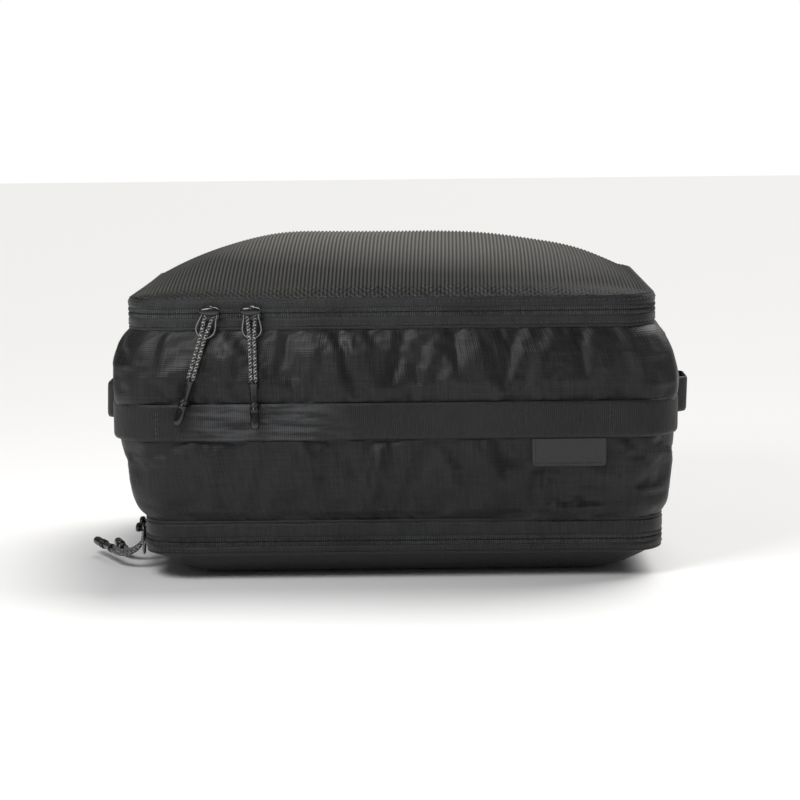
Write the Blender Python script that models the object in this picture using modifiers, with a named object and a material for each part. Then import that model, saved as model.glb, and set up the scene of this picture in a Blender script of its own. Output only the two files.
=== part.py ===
"""A two-sided packing cube: soft box, mesh lid, zipped base, webbing strap, handles and corded zip pulls.

Blender 4.5, metres, +Z up. The cube stands on its base panel at z = 0, with its front towards -Y. The origin is
the centre of the base panel's flat. The lid and the case turn on the rear edges of their zips, each slider runs
along the straight stretch of its zip, and each cord pull swivels on its slider's post.
"""
import math

import bmesh
import bpy
from mathutils import Matrix, Vector

# Plan of the two rims: outer half width and half depth, corner radius, and the top rim's shift off centre.
BASE_HALF_WIDTH = 0.1755
TOP_HALF_WIDTH = 0.1770
HALF_DEPTH = 0.125
TOP_CENTRE_X = -0.0073
CORNER_R = 0.026
CORNER_STEPS = 6
SWELL_WIDTH = 0.0120
SWELL_DEPTH = 0.008

# Heights, from the floor up.
BASE_RIM_Z = 0.0195
BASE_SPLIT_Z = 0.0275
WALL_LOW_Z = 0.041
WALL_HIGH_Z = 0.172
TOP_SPLIT_Z = 0.182
TOP_RIM_Z = 0.191
LID_PEAK_Z = 0.228
DIVIDER_Z = 0.075
WALL_ROWS = 12
DOME_POWER = 2.4
BASE_FLATTENING = 1.6
PANEL_INSET = 0.0005
PANEL_LIFT = 0.0024
SIDE_PARTS = 5
DOME_SCALES = (1.0, 0.95, 0.88, 0.78, 0.65, 0.5, 0.33, 0.15)

# Fabric, zip tape and webbing.
FABRIC = 0.0015
TAPE = 0.0012
SEAM_GAP = 0.0003
WALL_GAP = 0.0014
ZIP_GAP = 0.0018
COIL_HEIGHT = 0.003
COIL_FROM, COIL_TO = 0.0015, 0.0033
BINDING_TO = 0.0034
BINDING_HEIGHT = 0.003
STRIP_FROM, STRIP_TO = 0.0055, 0.0063
STRIP_HEIGHT = 0.012
STRIP_HALF_LENGTH = 0.140
HINGE_OUT = 0.0015
WEBBING_WIDTH = 0.025
WEBBING = 0.0016
STRAP_Z = 0.110
STRAP_END_Y = -0.050
HANDLE_HALF = 0.046
HANDLE_RISE = 0.016
LABEL_SIZE = (0.050, 0.0016, 0.019)
LABEL_X = 0.1106

# Slider and pull, measured from the zip tape's outer face (y = 0) and the zip's centre line (z = 0).
PLATE = (0.012, 0.0022, 0.008)
PLATE_FRONT = -0.0026
BACK_PLATE = (0.011, 0.0013, 0.007)
BACK_PLATE_Y = 0.0044
NECK = (0.0045, 0.0058, 0.0010)
POST_R = 0.0010
CAP = (0.011, 0.0016, 0.007)
CAP_BACK = -0.0064
CAP_RISE = 0.0020
LOOP_Y = -0.0043
WIRE_R = 0.0006
WIRE_TOP_R = 0.0048
WIRE_HALF_WIDTH = 0.0062
WIRE_DROP = 0.0160
CORD_R = 0.0013
BIGHT_R = 0.0026
STRAND_OFFSET = 0.00146
END_PROFILE = (
    (0.0, 0.0), (0.0030, 0.0), (0.0032, -0.0004), (0.0025, -0.008), (0.0025, -0.0130), (0.0032, -0.0134),
    (0.0032, -0.0150), (0.0026, -0.0154), (0.0026, -0.0166), (0.0032, -0.0170), (0.0032, -0.0186),
    (0.0027, -0.0190), (0.0030, -0.0225), (0.0030, -0.0270), (0.0022, -0.0302), (0.0, -0.0310),
)
END_STEPS = 12

# Each pull: name, zip, place along its run, which way its mouth faces, its turn about the post in degrees,
# and the route of its doubled cord: (sideways, outwards, up) from the post, down to the mouth and tip of its end.
HANGING_ROUTE = (
    (0.0, 0.0, 0.0), (0.0, 0.0002, -0.004), (0.0, 0.0012, -0.009), (0.0, 0.0029, -0.015),
    (0.0, 0.0039, -0.022), (0.0, 0.0053, -0.032), (0.0, 0.0076, -0.0447),
)
HANGING_END = ((0.0, 0.0077, -0.045), (0.0, 0.0110, -0.076))
LYING_OUT_ROUTE = (
    (0.0, 0.0, 0.0), (0.0, 0.0004, -0.004), (0.0, 0.0022, -0.0095), (-0.001, 0.0068, -0.0140),
    (-0.005, 0.0125, -0.0165), (-0.012, 0.0180, -0.0178), (-0.0205, 0.0225, -0.0180),
    (-0.0262, 0.0255, -0.0178),
)
LYING_OUT_END = ((-0.02646, 0.02565, -0.0178), (-0.0533, 0.0405, -0.0170))
LYING_BACK_ROUTE = (
    (0.0, 0.0, 0.0), (0.0, 0.0004, -0.004), (0.0, 0.0022, -0.0095), (-0.002, 0.0064, -0.0150),
    (-0.0065, 0.0112, -0.0192), (-0.0135, 0.0155, -0.0221), (-0.0220, 0.0188, -0.0233),
    (-0.0290, 0.0207, -0.0236),
)
LYING_BACK_END = ((-0.02929, 0.02078, -0.0236), (-0.0592, 0.0290, -0.0239))
PULLS = (
    ("top_left", "top", -0.1273, 1, 17.0, HANGING_ROUTE, HANGING_END),
    ("top_right", "top", -0.0998, -1, -1.5, HANGING_ROUTE, HANGING_END),
    ("base_front", "base", 0.0820, -1, 0.0, LYING_OUT_ROUTE, LYING_OUT_END),
    ("base_rear", "base", 0.0580, 1, 0.0, LYING_BACK_ROUTE, LYING_BACK_END),
)
CORNERS = {"front_right": (1, -1), "rear_right": (1, 1), "rear_left": (-1, 1), "front_left": (-1, -1)}


def clear_scene():
    for obj in list(bpy.data.objects):
        bpy.data.objects.remove(obj, do_unlink=True)


def new_collection(name):
    collection = bpy.data.collections.new(name)
    bpy.context.scene.collection.children.link(collection)
    return collection


def material(name, colour, roughness, metallic=0.0):
    made = bpy.data.materials.new(name)
    made.use_nodes = True
    shader = made.node_tree.nodes["Principled BSDF"]
    shader.inputs["Base Color"].default_value = (*colour, 1.0)
    shader.inputs["Roughness"].default_value = roughness
    shader.inputs["Metallic"].default_value = metallic
    return made


def add(name, data, look, empty):
    """Links a new object under the empty that carries it; its own coordinates stay those of the world."""
    obj = bpy.data.objects.new(name, data)
    cube.objects.link(obj)
    obj.data.materials.append(look)
    obj.parent = empty
    obj.matrix_parent_inverse = empty.matrix_world.inverted()
    return obj


def pivot(name, place, turn=0.0, parent=None):
    """An empty on a joint's axis, turned about +Z, with its matrix ready for the pieces that it carries."""
    empty = bpy.data.objects.new(name, None)
    cube.objects.link(empty)
    empty.empty_display_size = 0.02
    matrix = Matrix.Translation(place) @ Matrix.Rotation(turn, 4, "Z")
    if parent:
        empty.parent = parent
        empty.matrix_parent_inverse = parent.matrix_world.inverted()
    empty.matrix_world = matrix
    bpy.context.view_layer.update()
    return empty


def section(z):
    """Half width, half depth and centre of the cube's outer face at one height."""
    up = min(max((z - WALL_LOW_Z) / (WALL_HIGH_Z - WALL_LOW_Z), 0.0), 1.0)
    wide = math.sin(math.pi * up**1.5) if 0.0 < up < 1.0 else 0.0
    deep = math.sin(math.pi * up**1.3) if 0.0 < up < 1.0 else 0.0
    half_width = BASE_HALF_WIDTH + (TOP_HALF_WIDTH - BASE_HALF_WIDTH) * up + SWELL_WIDTH * wide**0.7
    return half_width, HALF_DEPTH + SWELL_DEPTH * deep**0.9, TOP_CENTRE_X * up


def arc(shape, corner, first, last, inset=0.0, steps=CORNER_STEPS):
    """Points of one rounded corner between two angles in degrees, drawn in from the outer face by the inset."""
    half_width, half_depth, centre = shape
    side, end = CORNERS[corner]
    points = []
    for step in range(steps + 1):
        angle = math.radians(first + (last - first) * step / steps)
        points.append((
            centre + side * (half_width - CORNER_R) + (CORNER_R - inset) * math.cos(angle),
            end * (half_depth - CORNER_R) + (CORNER_R - inset) * math.sin(angle),
        ))
    return points


def rounded_rectangle(shape, inset=0.0, along_side=1):
    """The whole outline; each straight side can be divided into several equal lengths."""
    turns = (("front_right", -90), ("rear_right", 0), ("rear_left", 90), ("front_left", 180))
    arcs = [arc(shape, corner, start, start + 90, inset) for corner, start in turns]
    points = []
    for this, after in zip(arcs, arcs[1:] + arcs[:1]):
        (x, y), (next_x, next_y) = this[-1], after[0]
        parts = [step / along_side for step in range(1, along_side)]
        points += this + [(x + (next_x - x) * part, y + (next_y - y) * part) for part in parts]
    return points


def three_sides(shape, inset):
    """The path along the left side, the front and the right side."""
    return (
        arc(shape, "rear_left", 175, 180, inset, 1)
        + arc(shape, "front_left", 180, 270, inset)
        + arc(shape, "front_right", 270, 360, inset)
        + arc(shape, "rear_right", 0, 5, inset, 1)
    )


def flat_shape(name, loops, low, high, look, empty):
    """An outline, with any holes in it, filled and made solid between two heights."""
    curve = bpy.data.curves.new(name, "CURVE")
    curve.dimensions = "2D"
    curve.fill_mode = "BOTH"
    curve.extrude = (high - low) / 2
    for loop in loops:
        spline = curve.splines.new("POLY")
        spline.points.add(len(loop) - 1)
        for point, place in zip(spline.points, loop):
            point.co = (*place, 0.0, 1.0)
        spline.use_cyclic_u = True
    obj = add(name, curve, look, empty)
    obj.location.z = (low + high) / 2
    return obj


def band(name, z, low, high, look, empty, start=0.0, end=TAPE):
    """A ring that follows the rim at height z, between two depths from the cube's outer face."""
    shape = section(z)
    return flat_shape(
        name, [rounded_rectangle(shape, start), rounded_rectangle(shape, end)], low, high, look, empty
    )


def coil(name, z, low, high, look, empty):
    """Half of a zip's coil: a strip along the left side, the front and the right side."""
    shape = section(z)
    outline = three_sides(shape, COIL_FROM) + three_sides(shape, COIL_TO)[::-1]
    return flat_shape(name, [outline], low, high, look, empty)


def shell(name, grid, look, empty, closed_rows=False, cap=None):
    """A fabric panel: rows of points joined into an open surface, then given the fabric's thickness inwards."""
    mesh = bpy.data.meshes.new(name)
    building = bmesh.new()
    rows = [[building.verts.new(point) for point in row] for row in grid]
    columns = len(rows[0]) if closed_rows else len(rows[0]) - 1
    for lower, upper in zip(rows, rows[1:]):
        for i in range(columns):
            after = (i + 1) % len(lower)
            building.faces.new((lower[i], lower[after], upper[after], upper[i]))
    if cap:
        top = building.verts.new(cap)
        last = rows[-1]
        for i, point in enumerate(last):
            building.faces.new((point, last[(i + 1) % len(last)], top))
    for face in building.faces:
        face.smooth = True
    building.to_mesh(mesh)
    building.free()
    obj = add(name, mesh, look, empty)
    solid = obj.modifiers.new("thickness", "SOLIDIFY")
    solid.thickness = FABRIC
    solid.offset = -1.0
    solid.use_even_offset = True
    return obj


def wall(name, first_corner, last_corner, start, look, empty):
    """One side of the case, from the middle of one corner to the middle of the next."""
    trim = math.degrees(WALL_GAP / 2 / CORNER_R)
    grid = []
    for row in range(WALL_ROWS + 1):
        z = WALL_LOW_Z + SEAM_GAP + (WALL_HIGH_Z - WALL_LOW_Z - 2 * SEAM_GAP) * row / WALL_ROWS
        shape = section(z)
        points = arc(shape, first_corner, start + trim, start + 45, 0.0, 3)
        points += arc(shape, last_corner, start + 45, start + 90 - trim, 0.0, 3)
        grid.append([(x, y, z) for x, y in points])
    return shell(name, grid, look, empty)


def fullness(across, along):
    """How far a stuffed panel has risen, from 0 at its rim to 1, at fractions of its half sizes."""
    reach = (abs(across)**3 + abs(along)**3)**(1 / 3)
    return 1 - min(1.0, reach)**DOME_POWER


def lid_panel(look, empty):
    half_width, half_depth, centre = section(TOP_SPLIT_Z)
    edge = rounded_rectangle((half_width, half_depth, centre), PANEL_INSET, SIDE_PARTS)
    edge_z = TOP_RIM_Z + PANEL_LIFT
    grid = [[(x, y, edge_z) for x, y in edge]]
    for scale in DOME_SCALES[1:]:
        ring = [(centre + (x - centre) * scale, y * scale) for x, y in edge]
        rise = [fullness((x - centre) / half_width, y / half_depth) for x, y in ring]
        grid.append([(x, y, edge_z + (LID_PEAK_Z - edge_z) * up) for (x, y), up in zip(ring, rise)])
    return shell("mesh_lid_panel", grid, look, empty, True, (centre, 0.0, LID_PEAK_Z))


def base_panel(look, empty):
    """The bottom panel, rounded down from its rim and flat where it stands on the floor."""
    half_width, half_depth, centre = section(BASE_SPLIT_Z)
    edge = rounded_rectangle((half_width, half_depth, centre), PANEL_INSET, SIDE_PARTS)[::-1]
    edge_z = BASE_RIM_Z - PANEL_LIFT
    grid = [[(x, y, edge_z) for x, y in edge]]
    for scale in DOME_SCALES[1:]:
        ring = [(x * scale, y * scale) for x, y in edge]
        drops = [min(1.0, BASE_FLATTENING * fullness(x / half_width, y / half_depth)) for x, y in ring]
        grid.append([(x, y, edge_z * (1 - drop)) for (x, y), drop in zip(ring, drops)])
    return shell("base_panel", grid, look, empty, True, (0.0, 0.0, 0.0))


def hinge_strip(name, z, look, empty):
    """The fabric inside the rear edge that joins the two halves of a zip band."""
    rear = HALF_DEPTH
    outline = [
        (-STRIP_HALF_LENGTH, rear - STRIP_TO), (STRIP_HALF_LENGTH, rear - STRIP_TO),
        (STRIP_HALF_LENGTH, rear - STRIP_FROM), (-STRIP_HALF_LENGTH, rear - STRIP_FROM),
    ]
    return flat_shape(name, [outline], z - STRIP_HEIGHT / 2, z + STRIP_HEIGHT / 2, look, empty)


def webbing_shape():
    """The strap's inner outline: the widest section that it passes over, and a seam's gap more."""
    levels = [section(STRAP_Z + WEBBING_WIDTH * step / 8) for step in range(-4, 5)]
    left = min(centre - half for half, _, centre in levels) - SEAM_GAP
    right = max(centre + half for half, _, centre in levels) + SEAM_GAP
    deep = max(depth for _, depth, _ in levels) + SEAM_GAP
    return (right - left) / 2, deep, (right + left) / 2


def front_strap(look, empty):
    shape = webbing_shape()

    def path(inset):
        left = shape[2] - shape[0] + inset
        right = shape[2] + shape[0] - inset
        round_front = arc(shape, "front_left", 180, 270, inset) + arc(shape, "front_right", 270, 360, inset)
        return [(left, STRAP_END_Y)] + round_front + [(right, STRAP_END_Y)]

    outline = path(-WEBBING) + path(0.0)[::-1]
    half = WEBBING_WIDTH / 2
    return flat_shape("front_strap", [outline], STRAP_Z - half, STRAP_Z + half, look, empty)


def handle(name, side, look, empty):
    """A webbing loop on one short side, flat where it is sewn on and standing off between."""
    half_width, _, centre = webbing_shape()
    steps = 18

    def edge(extra):
        points = []
        for step in range(steps + 1):
            along = -1 + 2 * step / steps
            lift = (1 + math.cos(math.pi * min(1.0, abs(along) / 0.78))) / 2
            bow = min(1.0, 1.35 * lift)
            x = centre + side * (half_width + extra + HANDLE_RISE * bow)
            points.append((x, along * HANDLE_HALF))
        return points

    outline = edge(0.0) + edge(WEBBING)[::-1]
    half = WEBBING_WIDTH / 2
    return flat_shape(name, [outline], STRAP_Z - half, STRAP_Z + half, look, empty)


def box(name, size, place, edge=0.0):
    """A block with its centre at place; its edges are rounded by the given radius."""
    bpy.ops.mesh.primitive_cube_add(size=1.0, location=place)
    obj = bpy.context.object
    obj.name = name
    obj.data.transform(Matrix.Diagonal((*size, 1.0)))
    if edge:
        rounding = obj.modifiers.new("rounded", "BEVEL")
        rounding.width = edge
        rounding.segments = 2
    return obj


def label(look, empty):
    half_depth = webbing_shape()[1]
    place = (
        LABEL_X, -half_depth - LABEL_SIZE[1] / 2 - SEAM_GAP,
        STRAP_Z - WEBBING_WIDTH / 2 - SEAM_GAP - LABEL_SIZE[2] / 2,
    )
    take(box("rubber_label", LABEL_SIZE, place, 0.0005), look, empty)


def take(obj, look, empty):
    """Moves a primitive into the cube's collection, under the empty that carries it."""
    for collection in list(obj.users_collection):
        collection.objects.unlink(obj)
    cube.objects.link(obj)
    obj.data.materials.append(look)
    obj.parent = empty
    obj.matrix_parent_inverse = empty.matrix_world.inverted()


def join(whole, others):
    """Adds other closed shapes to one by Boolean union and removes them."""
    for other in others:
        union = whole.modifiers.new(other.name, "BOOLEAN")
        union.operation = "UNION"
        union.solver = "EXACT"
        union.object = other
    bpy.context.view_layer.update()
    graph = bpy.context.evaluated_depsgraph_get()
    mesh = bpy.data.meshes.new_from_object(whole.evaluated_get(graph))
    whole.modifiers.clear()
    whole.data = mesh
    for other in others:
        bpy.data.objects.remove(other, do_unlink=True)


def slider(name, facing, look, carriage):
    """The slider: plates before and behind the tape, the neck between them, and the post with its cap."""
    front = box(name, PLATE, (0.0, PLATE_FRONT + PLATE[1] / 2, 0.0), 0.0007)
    back = box("back_plate", BACK_PLATE, (0.0, BACK_PLATE_Y, 0.0))
    neck_y = PLATE_FRONT + PLATE[1] / 2 + NECK[1] / 2
    neck = box("neck", NECK, (facing * 0.0032, neck_y, 0.0))
    cap = box("cap", CAP, (0.0, CAP_BACK - CAP[1] / 2, CAP_RISE), 0.0007)
    post_length = PLATE_FRONT - CAP_BACK + 0.0014
    bpy.ops.mesh.primitive_cylinder_add(
        vertices=12, radius=POST_R, depth=post_length, rotation=(math.pi / 2, 0.0, 0.0),
        location=(0.0, (PLATE_FRONT + CAP_BACK) / 2, 0.0),
    )
    post = bpy.context.object
    join(front, [back, neck, post, cap])
    take(front, look, carriage)
    front.matrix_parent_inverse = Matrix.Identity(4)


def tube(name, points, radius, closed, look, empty):
    curve = bpy.data.curves.new(name, "CURVE")
    curve.dimensions = "3D"
    curve.bevel_depth = radius
    curve.bevel_resolution = 2
    curve.use_fill_caps = not closed
    spline = curve.splines.new("POLY")
    spline.points.add(len(points) - 1)
    for point, place in zip(spline.points, points):
        point.co = (*place, 1.0)
    spline.use_cyclic_u = closed
    obj = bpy.data.objects.new(name, curve)
    cube.objects.link(obj)
    obj.data.materials.append(look)
    obj.parent = empty
    return obj


def wire_loop(name, look, swivel):
    """The wire teardrop round the post: a half circle above, widening legs, and a rounded lower end."""
    steps = 8
    top = [math.pi * step / steps for step in range(steps + 1)]
    points = [(WIRE_TOP_R * math.cos(a), 0.0, WIRE_TOP_R * math.sin(a)) for a in top]
    lower_z = WIRE_HALF_WIDTH - WIRE_DROP
    points.append((-(WIRE_TOP_R + WIRE_HALF_WIDTH) / 2, 0.0, lower_z / 2))
    round_end = [math.pi + math.pi * step / steps for step in range(steps + 1)]
    points += [
        (WIRE_HALF_WIDTH * math.cos(a), 0.0, lower_z + WIRE_HALF_WIDTH * math.sin(a)) for a in round_end
    ]
    points.append(((WIRE_TOP_R + WIRE_HALF_WIDTH) / 2, 0.0, lower_z / 2))
    return tube(name, points, WIRE_R, True, look, swivel)


def smooth_route(route, spacing):
    """Points at even spacing along a smooth curve through the route's own points."""
    knots = [Vector(point) for point in route]
    knots = [2 * knots[0] - knots[1]] + knots + [2 * knots[-1] - knots[-2]]
    fine = []
    for a, b, c, d in zip(knots, knots[1:], knots[2:], knots[3:]):
        for step in range(20):
            t = step / 20
            square, cube_term = 2 * a - 5 * b + 4 * c - d, 3 * b - a - 3 * c + d
            fine.append(0.5 * (2 * b + (c - a) * t + square * t**2 + cube_term * t**3))
    fine.append(knots[-2])
    total = sum((q - p).length for p, q in zip(fine, fine[1:]))
    count = max(2, round(total / spacing))
    points = [fine[0]]
    walked = 0.0
    for p, q in zip(fine, fine[1:]):
        walked += (q - p).length
        if walked >= total * len(points) / count - 1e-9:
            points.append(q)
    return points


def outward(point):
    """A route's (sideways, outwards, up) as the slider's own coordinates."""
    return Vector((point[0], -point[1], point[2]))


def doubled_cord(name, route, look, swivel):
    """One cord, up to the post, round it and down again beside itself."""
    spine = smooth_route([outward(point) for point in route], 0.0040)
    left, right = [], []
    for i, place in enumerate(spine):
        ahead = (spine[min(i + 1, len(spine) - 1)] - spine[max(i - 1, 0)]).normalized()
        out = Vector((0.0, -1.0, 0.0)) if i < 3 else Vector((0.0, 0.0, 1.0)) + Vector((0.0, -1.0, 0.0))
        beside = ahead.cross(out).normalized()
        if beside.x > 0:
            beside = -beside
        nearing = min(1.0, i / 4)
        offset = BIGHT_R + (STRAND_OFFSET - BIGHT_R) * nearing
        left.append(place + beside * offset)
        right.append(place - beside * offset)
    steps = 6
    bight = []
    for step in range(1, steps):
        angle = math.pi - math.pi * step / steps
        bight.append(spine[0] + Vector((BIGHT_R * math.cos(angle), 0.0, BIGHT_R * math.sin(angle))))
    return tube(name, left[::-1] + bight + right, CORD_R, False, look, swivel)


def moulded_end(name, ends, look, swivel):
    """The turned grip on the cord's two ends."""
    mesh = bpy.data.meshes.new(name)
    edges = [(i, i + 1) for i in range(len(END_PROFILE) - 1)]
    mesh.from_pydata([(r, 0.0, z) for r, z in END_PROFILE], edges, [])
    obj = bpy.data.objects.new(name, mesh)
    cube.objects.link(obj)
    obj.data.materials.append(look)
    turned = obj.modifiers.new("turned", "SCREW")
    turned.steps = END_STEPS
    turned.render_steps = END_STEPS
    turned.use_merge_vertices = True
    turned.merge_threshold = 0.0001
    turned.use_smooth_shade = True
    mouth, tip = (outward(point) for point in ends)
    obj.location = mouth
    obj.rotation_mode = "QUATERNION"
    obj.rotation_quaternion = Vector((0.0, 0.0, -1.0)).rotation_difference(tip - mouth)
    obj.parent = swivel
    return obj


def pull(entry, zips, looks):
    """A slider on its zip with the wire loop, the doubled cord and the moulded end that swivel on its post."""
    name, zip_name, along, facing, turn, route, ends = entry
    place, heading, carrier = zips[zip_name]
    run = Matrix.Rotation(heading, 3, "Z") @ Vector((along, 0.0, 0.0))
    carriage = pivot(f"{name}_carriage", Vector(place) + run, heading, carrier)
    slider(f"{name}_slider", facing, looks["gloss"], carriage)
    swivel = bpy.data.objects.new(f"{name}_swivel", None)
    cube.objects.link(swivel)
    swivel.parent = carriage
    swivel.empty_display_size = 0.01
    swivel.location = (0.0, LOOP_Y, 0.0)
    swivel.rotation_euler = (0.0, math.radians(turn), 0.0)
    wire_loop(f"{name}_wire_loop", looks["wire"], swivel)
    doubled_cord(f"{name}_cord", route, looks["cord"], swivel)
    moulded_end(f"{name}_cord_end", ends, looks["gloss"], swivel)


clear_scene()
cube = new_collection("packing_cube")
looks = {
    "wall": material("ripstop", (0.026, 0.027, 0.029), 0.62),
    "mesh": material("lid_mesh", (0.055, 0.054, 0.050), 0.75),
    "tape": material("zip_tape", (0.016, 0.017, 0.018), 0.70),
    "coil": material("zip_coil", (0.012, 0.012, 0.013), 0.42),
    "webbing": material("webbing", (0.028, 0.029, 0.031), 0.48),
    "lining": material("lining", (0.045, 0.047, 0.050), 0.70),
    "rubber": material("rubber", (0.018, 0.019, 0.020), 0.55),
    "gloss": material("gloss_black", (0.010, 0.010, 0.011), 0.20),
    "wire": material("gunmetal_wire", (0.17, 0.17, 0.175), 0.28, 1.0),
    "cord": material("fleck_cord", (0.10, 0.10, 0.10), 0.75),
}

base_body = pivot("base_body", (0.0, 0.0, 0.0))
case_hinge = pivot("case_hinge", (0.0, HALF_DEPTH + HINGE_OUT, BASE_SPLIT_Z), parent=base_body)
lid_hinge = pivot("lid_hinge", (0.0, HALF_DEPTH + HINGE_OUT, TOP_SPLIT_Z), parent=case_hinge)

base_panel(looks["wall"], base_body)
band("base_zip_tape", BASE_SPLIT_Z, BASE_RIM_Z + SEAM_GAP, BASE_SPLIT_Z - ZIP_GAP / 2, looks["tape"], base_body)
coil(
    "base_zip_coil", BASE_SPLIT_Z, BASE_SPLIT_Z - ZIP_GAP / 2 - COIL_HEIGHT, BASE_SPLIT_Z - ZIP_GAP / 2,
    looks["coil"], base_body,
)
hinge_strip("base_hinge_strip", BASE_SPLIT_Z, looks["lining"], base_body)

band("case_lower_zip_tape", BASE_SPLIT_Z, BASE_SPLIT_Z + ZIP_GAP / 2, WALL_LOW_Z, looks["tape"], case_hinge)
coil(
    "case_lower_zip_coil", BASE_SPLIT_Z, BASE_SPLIT_Z + ZIP_GAP / 2, BASE_SPLIT_Z + ZIP_GAP / 2 + COIL_HEIGHT,
    looks["coil"], case_hinge,
)
wall("front_wall", "front_left", "front_right", 225, looks["wall"], case_hinge)
wall("right_wall", "front_right", "rear_right", 315, looks["wall"], case_hinge)
wall("back_wall", "rear_right", "rear_left", 45, looks["wall"], case_hinge)
wall("left_wall", "rear_left", "front_left", 135, looks["wall"], case_hinge)
flat_shape(
    "divider", [rounded_rectangle(section(DIVIDER_Z - 0.002), FABRIC + 0.0008)], DIVIDER_Z, DIVIDER_Z + 0.0012,
    looks["lining"], case_hinge,
)
band("case_upper_zip_tape", TOP_SPLIT_Z, WALL_HIGH_Z, TOP_SPLIT_Z - ZIP_GAP / 2, looks["tape"], case_hinge)
coil(
    "case_upper_zip_coil", TOP_SPLIT_Z, TOP_SPLIT_Z - ZIP_GAP / 2 - COIL_HEIGHT, TOP_SPLIT_Z - ZIP_GAP / 2,
    looks["coil"], case_hinge,
)
hinge_strip("lid_hinge_strip", TOP_SPLIT_Z, looks["lining"], case_hinge)
for binding, rim_z, low in (
    ("case_lower_binding", BASE_SPLIT_Z, WALL_LOW_Z - 0.0035),
    ("case_upper_binding", TOP_SPLIT_Z, WALL_HIGH_Z + 0.0005),
):
    band(binding, rim_z, low, low + BINDING_HEIGHT, looks["lining"], case_hinge, TAPE + SEAM_GAP, BINDING_TO)
front_strap(looks["webbing"], case_hinge)
handle("left_handle", -1, looks["webbing"], case_hinge)
handle("right_handle", 1, looks["webbing"], case_hinge)
label(looks["rubber"], case_hinge)

band("lid_zip_tape", TOP_SPLIT_Z, TOP_SPLIT_Z + ZIP_GAP / 2, TOP_RIM_Z, looks["tape"], lid_hinge)
coil(
    "lid_zip_coil", TOP_SPLIT_Z, TOP_SPLIT_Z + ZIP_GAP / 2, TOP_SPLIT_Z + ZIP_GAP / 2 + COIL_HEIGHT,
    looks["coil"], lid_hinge,
)
lid_panel(looks["mesh"], lid_hinge)
binding_top = TOP_RIM_Z - 0.0008
band(
    "lid_binding", TOP_SPLIT_Z, binding_top - BINDING_HEIGHT, binding_top, looks["lining"], lid_hinge,
    TAPE + SEAM_GAP, BINDING_TO,
)

# Where each zip's straight run starts, which way it heads, and what carries it: the top zip across the front,
# the base zip along the left side, where +X of the run points to the front.
zips = {
    "top": ((0.0, -HALF_DEPTH, TOP_SPLIT_Z), 0.0, case_hinge),
    "base": ((-BASE_HALF_WIDTH, 0.0, BASE_SPLIT_Z), -math.pi / 2, base_body),
}
for entry in PULLS:
    pull(entry, zips, looks)
bpy.context.view_layer.update()
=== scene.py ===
"""The packing cube's looks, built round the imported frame: stuffed fabric walls, ribbed mesh lid, zips, webbing,
blank rubber label, stitching, and corded zip pulls, on a pale studio floor."""
import math

import bpy
import numpy as np
from mathutils import Euler, Matrix, Vector


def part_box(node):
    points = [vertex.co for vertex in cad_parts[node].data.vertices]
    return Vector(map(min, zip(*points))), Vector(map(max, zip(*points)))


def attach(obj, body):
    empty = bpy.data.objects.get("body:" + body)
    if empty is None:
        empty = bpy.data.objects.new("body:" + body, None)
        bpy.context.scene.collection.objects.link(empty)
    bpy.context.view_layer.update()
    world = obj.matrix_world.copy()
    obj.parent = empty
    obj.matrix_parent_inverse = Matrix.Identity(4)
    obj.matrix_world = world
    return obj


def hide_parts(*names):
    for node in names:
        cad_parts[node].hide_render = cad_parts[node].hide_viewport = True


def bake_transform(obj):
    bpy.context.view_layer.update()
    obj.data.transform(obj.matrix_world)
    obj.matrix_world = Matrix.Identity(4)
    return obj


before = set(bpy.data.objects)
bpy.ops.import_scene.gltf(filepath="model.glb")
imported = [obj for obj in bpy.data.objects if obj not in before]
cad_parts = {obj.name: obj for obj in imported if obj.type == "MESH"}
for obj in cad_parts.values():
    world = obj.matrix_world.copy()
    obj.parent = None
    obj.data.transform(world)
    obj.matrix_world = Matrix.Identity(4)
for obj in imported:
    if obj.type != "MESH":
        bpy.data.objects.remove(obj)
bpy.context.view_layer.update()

MM = 0.001
TURN = 2 * math.pi


# --- camera, light and floor

CAMERA_PLACE = (-0.0019, -1.615, 0.335)
CAMERA_PITCH = 8.1
CAMERA_ROLL = -0.6
CAMERA_LENS = 101.6
SENSOR_WIDTH = 36.0
SUN_FROM = (0.50, 0.60, 1.0)
SUN_WIDTH = 50.0
SUN_STRENGTH = 3.3
SUN_COLOUR = (1.0, 0.99, 0.97)
PANEL_PLACE = (-0.30, -0.52, 0.55)
PANEL_AIM = (0.0, 0.0, 0.12)
PANEL_SIZE = 0.30
PANEL_POWER = 3.0
SKY = 0.15
WHITE = (1.0, 1.0, 1.0, 1.0)
FLOOR_SIZE = 12.0
FLOOR_COLOUR = (0.90, 0.90, 0.90, 1.0)
FLOOR_ROUGHNESS = 0.9


def add_object(name, data):
    obj = bpy.data.objects.new(name, data)
    bpy.context.scene.collection.objects.link(obj)
    return obj


def lamp(name, kind, place, aim, energy):
    """A light at a place, turned towards what it lights."""
    light = bpy.data.lights.new(name, kind)
    light.energy = energy
    obj = add_object(name, light)
    obj.location = place
    obj.rotation_euler = (Vector(aim) - Vector(place)).to_track_quat("-Z", "Y").to_euler()
    return obj


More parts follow.
